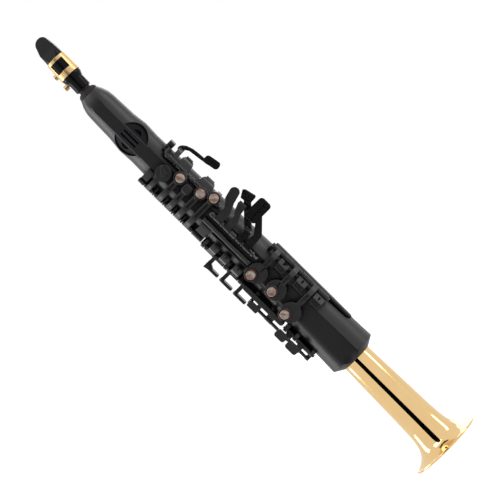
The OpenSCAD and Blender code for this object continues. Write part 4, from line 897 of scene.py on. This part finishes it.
# %% Turn the pearls and their rings
LIP, DISH_R, PEARL_STEPS = 0.55, 5.8, 64
DISH_SHARE, LIP_DROP, DISH_STEPS = 0.8, 0.06, 8
RING_BELOW, RING_IN, RING_OUT = 0.95, 5.86, 7.3
RING_DEEP, RING_SIDE, RING_TOP = 0.5, 0.15, 0.4
RING_TOP_OUT, RING_TOP_IN = 7.05, 6.2


def box_of(node):
    """Lowest and highest corner of a part."""
    axes = list(zip(*nodes[node].bound_box))
    return Vector([min(axis) for axis in axes]), Vector([max(axis) for axis in axes])


def pearl_loop(height):
    """Half the section of a dished pearl of this height, from the axis outwards."""
    dish = [(DISH_R * DISH_SHARE * i / DISH_STEPS, height - LIP * (1 - (i / DISH_STEPS) ** 2))
            for i in range(DISH_STEPS + 1)]
    lip = [(DISH_R * (DISH_SHARE + (1 - DISH_SHARE) * math.sin(math.radians(a))),
            height - DISH_R * LIP_DROP * (1 - math.cos(math.radians(a))))
           for a in range(15, 91, 15)]
    return dish + lip + [(DISH_R, 0), (0, 0)]


def ring_loop(level):
    """Section of the ring round a pearl, with its corners broken above."""
    return [(RING_IN, level - RING_DEEP), (RING_OUT, level - RING_DEEP),
            (RING_OUT, level + RING_SIDE), (RING_TOP_OUT, level + RING_TOP),
            (RING_TOP_IN, level + RING_TOP), (RING_IN, level + RING_SIDE)]


for name in FINISHES[pearl_acrylic]:
    low, high = box_of(name)
    height = (high.y - low.y) / MM
    lay = (Matrix.Translation(((low.x + high.x) / 2, high.y, (low.z + high.z) / 2))
           @ Matrix.Rotation(math.radians(90), 4, "X"))
    stone = turned_mesh("dished_" + name, pearl_loop(height), PEARL_STEPS, pearl_acrylic)
    stone.transform(lay)
    settle(finished("dished_" + name, stone), name)
    ring = ring_loop(height - RING_BELOW)
    collar = turned_mesh("ring_of_" + name, ring, PEARL_STEPS, ring_bronze)
    collar.transform(lay)
    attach(finished("ring_of_" + name, collar), body_of[name])

# %% [markdown]
# ## Ribs on the levers
# The cast levers of the upper stack carry a pair of ribs that stiffen them
# where they bend. Modelling each bend by hand would be slow, so rays find the
# lever's own surface: each rib is a path of hit points, and one small tree
# sweeps a round bar along it.

# %% A tree that sweeps a bar along a path
RIB_RADIUS = "Rib radius"

ribs, given = new_tree("ribs", {RIB_RADIUS: "Float", COAT: "Material"})
path = add(ribs, "GeometryNodeMeshToCurve", {"Mesh": given.outputs["Geometry"]})
bar = add(ribs, "GeometryNodeCurvePrimitiveCircle", {
    "Resolution": 10, "Radius": given.outputs[RIB_RADIUS]})
swept = add(ribs, "GeometryNodeCurveToMesh", {
    "Curve": path.outputs[0], "Profile Curve": bar.outputs[0], "Fill Caps": True})
close_tree(ribs, swept.outputs[0], given.outputs[COAT])

# %% [markdown]
# ### Paths on a lever
# A lever is found by looking at it from the front, ten millimetres in from its
# tip, at every quarter of a millimetre of its height. The pair of ribs runs
# 2.1 mm above and below its middle line.

# %% Ribs that follow the levers
IN_FRONT, BACKWARD = -60, Vector((0, 1, 0))
RIB_FROM, RIB_TO, RIB_POINTS, RIB_APART, RIB_R = 3.6, 14.5, 24, 2.1, 0.6
LEVER_AT, LOOKS_PER_MM = 10, 4


def front_point(surface, x, z):
    """Where a part's front lies at this place in millimetres, or None beside it."""
    return surface.ray_cast(Vector((x, IN_FRONT, z)) * MM, BACKWARD)[0]


for name in ("front_f_key", "b_key", "bis_key", "a_key", "g_key"):
    low, high = box_of(name)
    part = bmesh.new()
    part.from_mesh(nodes[name].data)
    surface = BVHTree.FromBMesh(part)
    part.free()
    left = low.x / MM
    levels = range(int(low.z / MM * LOOKS_PER_MM), int(high.z / MM * LOOKS_PER_MM) + 1)
    arm_z = [z / LOOKS_PER_MM for z in levels
             if front_point(surface, left + LEVER_AT, z / LOOKS_PER_MM) is not None]
    middle = (min(arm_z) + max(arm_z)) / 2
    verts, edges = [], []
    for z in (middle - RIB_APART, middle + RIB_APART):
        start, end = left + RIB_FROM, left + RIB_TO
        hits = [front_point(surface, start + (end - start) * i / RIB_POINTS, z)
                for i in range(RIB_POINTS + 1)]
        points = [hit for hit in hits if hit is not None]
        edges += [(len(verts) + i, len(verts) + i + 1) for i in range(len(points) - 1)]
        verts += points
    outline = bpy.data.meshes.new(name + "_rib_paths")
    outline.from_pydata(verts, edges, [])
    mesh = grown("ribs_of_" + name, outline, ribs, {RIB_RADIUS: RIB_R * MM, COAT: key_satin})
    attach(finished("ribs_of_" + name, mesh), body_of[name])
    print(name, "lever", round(min(arm_z), 1), "to", round(max(arm_z), 1))

# %% [markdown]
# ## Screws at the rods' ends
# Each hinge rod ends in a slotted head, by which a repairer draws it out. One
# head is a short cylinder with a slot cut by a Boolean, and a tree sets it on
# points at the ends of the rods. A point says whether its head looks down, and
# a seeded random turn keeps the slots from lining up, as real ones never do.

# %% Slotted screws
HEAD_RADIUS, SLOT_WIDTH, SEED = "Head radius", "Slot width", "Seed"
HEAD_HIGH, SLOT_LONG, SLOT_HIGH, HEAD_R, SLOT_W = 1.1, 6, 1.0, 2.0, 0.6
ROD_ENDS = [  # x, y and z in millimetres, and 1 for a head that looks down
    (-33.52, -14, 191.9, 1), (-28.3, -14, 495.1, 0), (6.4, -29.88, 325.9, 1),
    (6.4, -29.88, 405.1, 0), (17.95, -20.88, 400.9, 1), (30.45, -19, 228.9, 1),
    (30.45, -19, 325.1, 0)]

screws, given = new_tree("rod_screws", {
    HEAD_RADIUS: "Float", SLOT_WIDTH: "Float", SEED: "Int", COAT: "Material"})
head = add(screws, "GeometryNodeMeshCylinder", {
    "Vertices": 28, "Radius": given.outputs[HEAD_RADIUS], "Depth": HEAD_HIGH * MM})
sunk = add(screws, "GeometryNodeTransform", {
    "Geometry": head.outputs["Mesh"], "Translation": (0, 0, -HEAD_HIGH / 2 * MM)})
slot_size = add(screws, "ShaderNodeCombineXYZ", {
    "X": SLOT_LONG * MM, "Y": given.outputs[SLOT_WIDTH], "Z": SLOT_HIGH * MM})
cutter = add(screws, "GeometryNodeMeshCube", {"Size": slot_size.outputs[0]})
slotted = add(screws, "GeometryNodeMeshBoolean", {
    "Mesh 1": sunk.outputs[0], "Mesh 2": cutter.outputs["Mesh"]}, operation="DIFFERENCE")
flip = add(screws, "GeometryNodeInputNamedAttribute", {"Name": "flip"}, data_type="FLOAT")
over = add(screws, "ShaderNodeMath", {
    0: flip.outputs["Attribute"], 1: math.pi}, operation="MULTIPLY")
chance = add(screws, "FunctionNodeRandomValue", {"Seed": given.outputs[SEED]}, data_type="FLOAT")
slot_turn = add(screws, "ShaderNodeMath", {
    0: chance.outputs["Value"], 1: math.pi}, operation="MULTIPLY")
euler = add(screws, "ShaderNodeCombineXYZ", {"X": over.outputs[0], "Z": slot_turn.outputs[0]})
aim = add(screws, "FunctionNodeEulerToRotation", {0: euler.outputs[0]})
placed = add(screws, "GeometryNodeInstanceOnPoints", {
    "Points": given.outputs["Geometry"], "Instance": slotted.outputs["Mesh"],
    "Rotation": aim.outputs[0]})
close_tree(screws, placed.outputs[0], given.outputs[COAT])

ends = bpy.data.meshes.new("rod_ends")
ends.from_pydata([(x * MM, y * MM, z * MM) for x, y, z, _ in ROD_ENDS], [], [])
looks_down = ends.attributes.new("flip", "FLOAT", "POINT")
for i, (_, _, _, down) in enumerate(ROD_ENDS):
    looks_down.data[i].value = down
mesh = grown("rod_screws", ends, screws, {
    HEAD_RADIUS: HEAD_R * MM, SLOT_WIDTH: SLOT_W * MM, SEED: 7, COAT: blued_steel})
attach(finished("rod_screws", mesh), "housing")
print(len(ROD_ENDS), "heads,", len(mesh.polygons), "faces")

# %% [markdown]
# ## Gauze behind the sound slots
# A woven gauze keeps dust out of the speaker and is what one sees through the
# slots. Two rows of thin wires cross each other: the tree lays one wire along
# a line of points for each row. Real gauze is finer than 0.6 mm, but that is
# what still shows, and a wire needs only six sides.

# %% Woven gauze
WIDTH, HEIGHT, PITCH, WIRE_RADIUS = "Width", "Height", "Pitch", "Wire radius"
GAUZE_W, GAUZE_H, GAUZE_PITCH, WIRE_R, ROW_GAP = 12, 28, 0.6, 0.2, 0.25
GAUZE_AT = Vector((0, -17.6, 535)) * MM

gauze, given = new_tree("gauze", {
    WIDTH: "Float", HEIGHT: "Float", PITCH: "Float", WIRE_RADIUS: "Float", COAT: "Material"})
families = []
for along, across, step, wire_turn, depth in (
        (HEIGHT, WIDTH, "X", 0.0, 0.0), (WIDTH, HEIGHT, "Z", math.pi / 2, ROW_GAP * MM)):
    wire = add(gauze, "GeometryNodeMeshCylinder", {
        "Vertices": 6, "Radius": given.outputs[WIRE_RADIUS], "Depth": given.outputs[along]})
    laid = add(gauze, "GeometryNodeTransform", {
        "Geometry": wire.outputs["Mesh"], "Rotation": (0, wire_turn, 0)})
    count = add(gauze, "ShaderNodeMath", {
        0: given.outputs[across], 1: given.outputs[PITCH]}, operation="DIVIDE")
    pitch = add(gauze, "ShaderNodeCombineXYZ", {step: given.outputs[PITCH]})
    half = add(gauze, "ShaderNodeMath", {0: given.outputs[across], 1: -0.5}, operation="MULTIPLY")
    first = add(gauze, "ShaderNodeCombineXYZ", {step: half.outputs[0], "Y": depth})
    row = add(gauze, "GeometryNodeMeshLine", {
        "Count": count.outputs[0], "Start Location": first.outputs[0], "Offset": pitch.outputs[0]})
    families.append(add(gauze, "GeometryNodeInstanceOnPoints", {
        "Points": row.outputs[0], "Instance": laid.outputs[0]}))
woven = add(gauze, "GeometryNodeJoinGeometry", {"Geometry": families[0].outputs[0]})
gauze.links.new(families[1].outputs[0], woven.inputs["Geometry"])
close_tree(gauze, woven.outputs[0], given.outputs[COAT])
mesh = grown("gauze", bpy.data.meshes.new("gauze_blank"), gauze, {
    WIDTH: GAUZE_W * MM, HEIGHT: GAUZE_H * MM, PITCH: GAUZE_PITCH * MM,
    WIRE_RADIUS: WIRE_R * MM, COAT: grille_paint})
mesh.transform(Matrix.Translation(GAUZE_AT))
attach(finished("gauze", mesh), "housing")
print("gauze", len(mesh.polygons), "faces")

# %% [markdown]
# ## The view
# The picture shows colours as they are written, through the Standard view
# transform.

# %% Standard view
bpy.context.scene.view_settings.view_transform = "Standard"
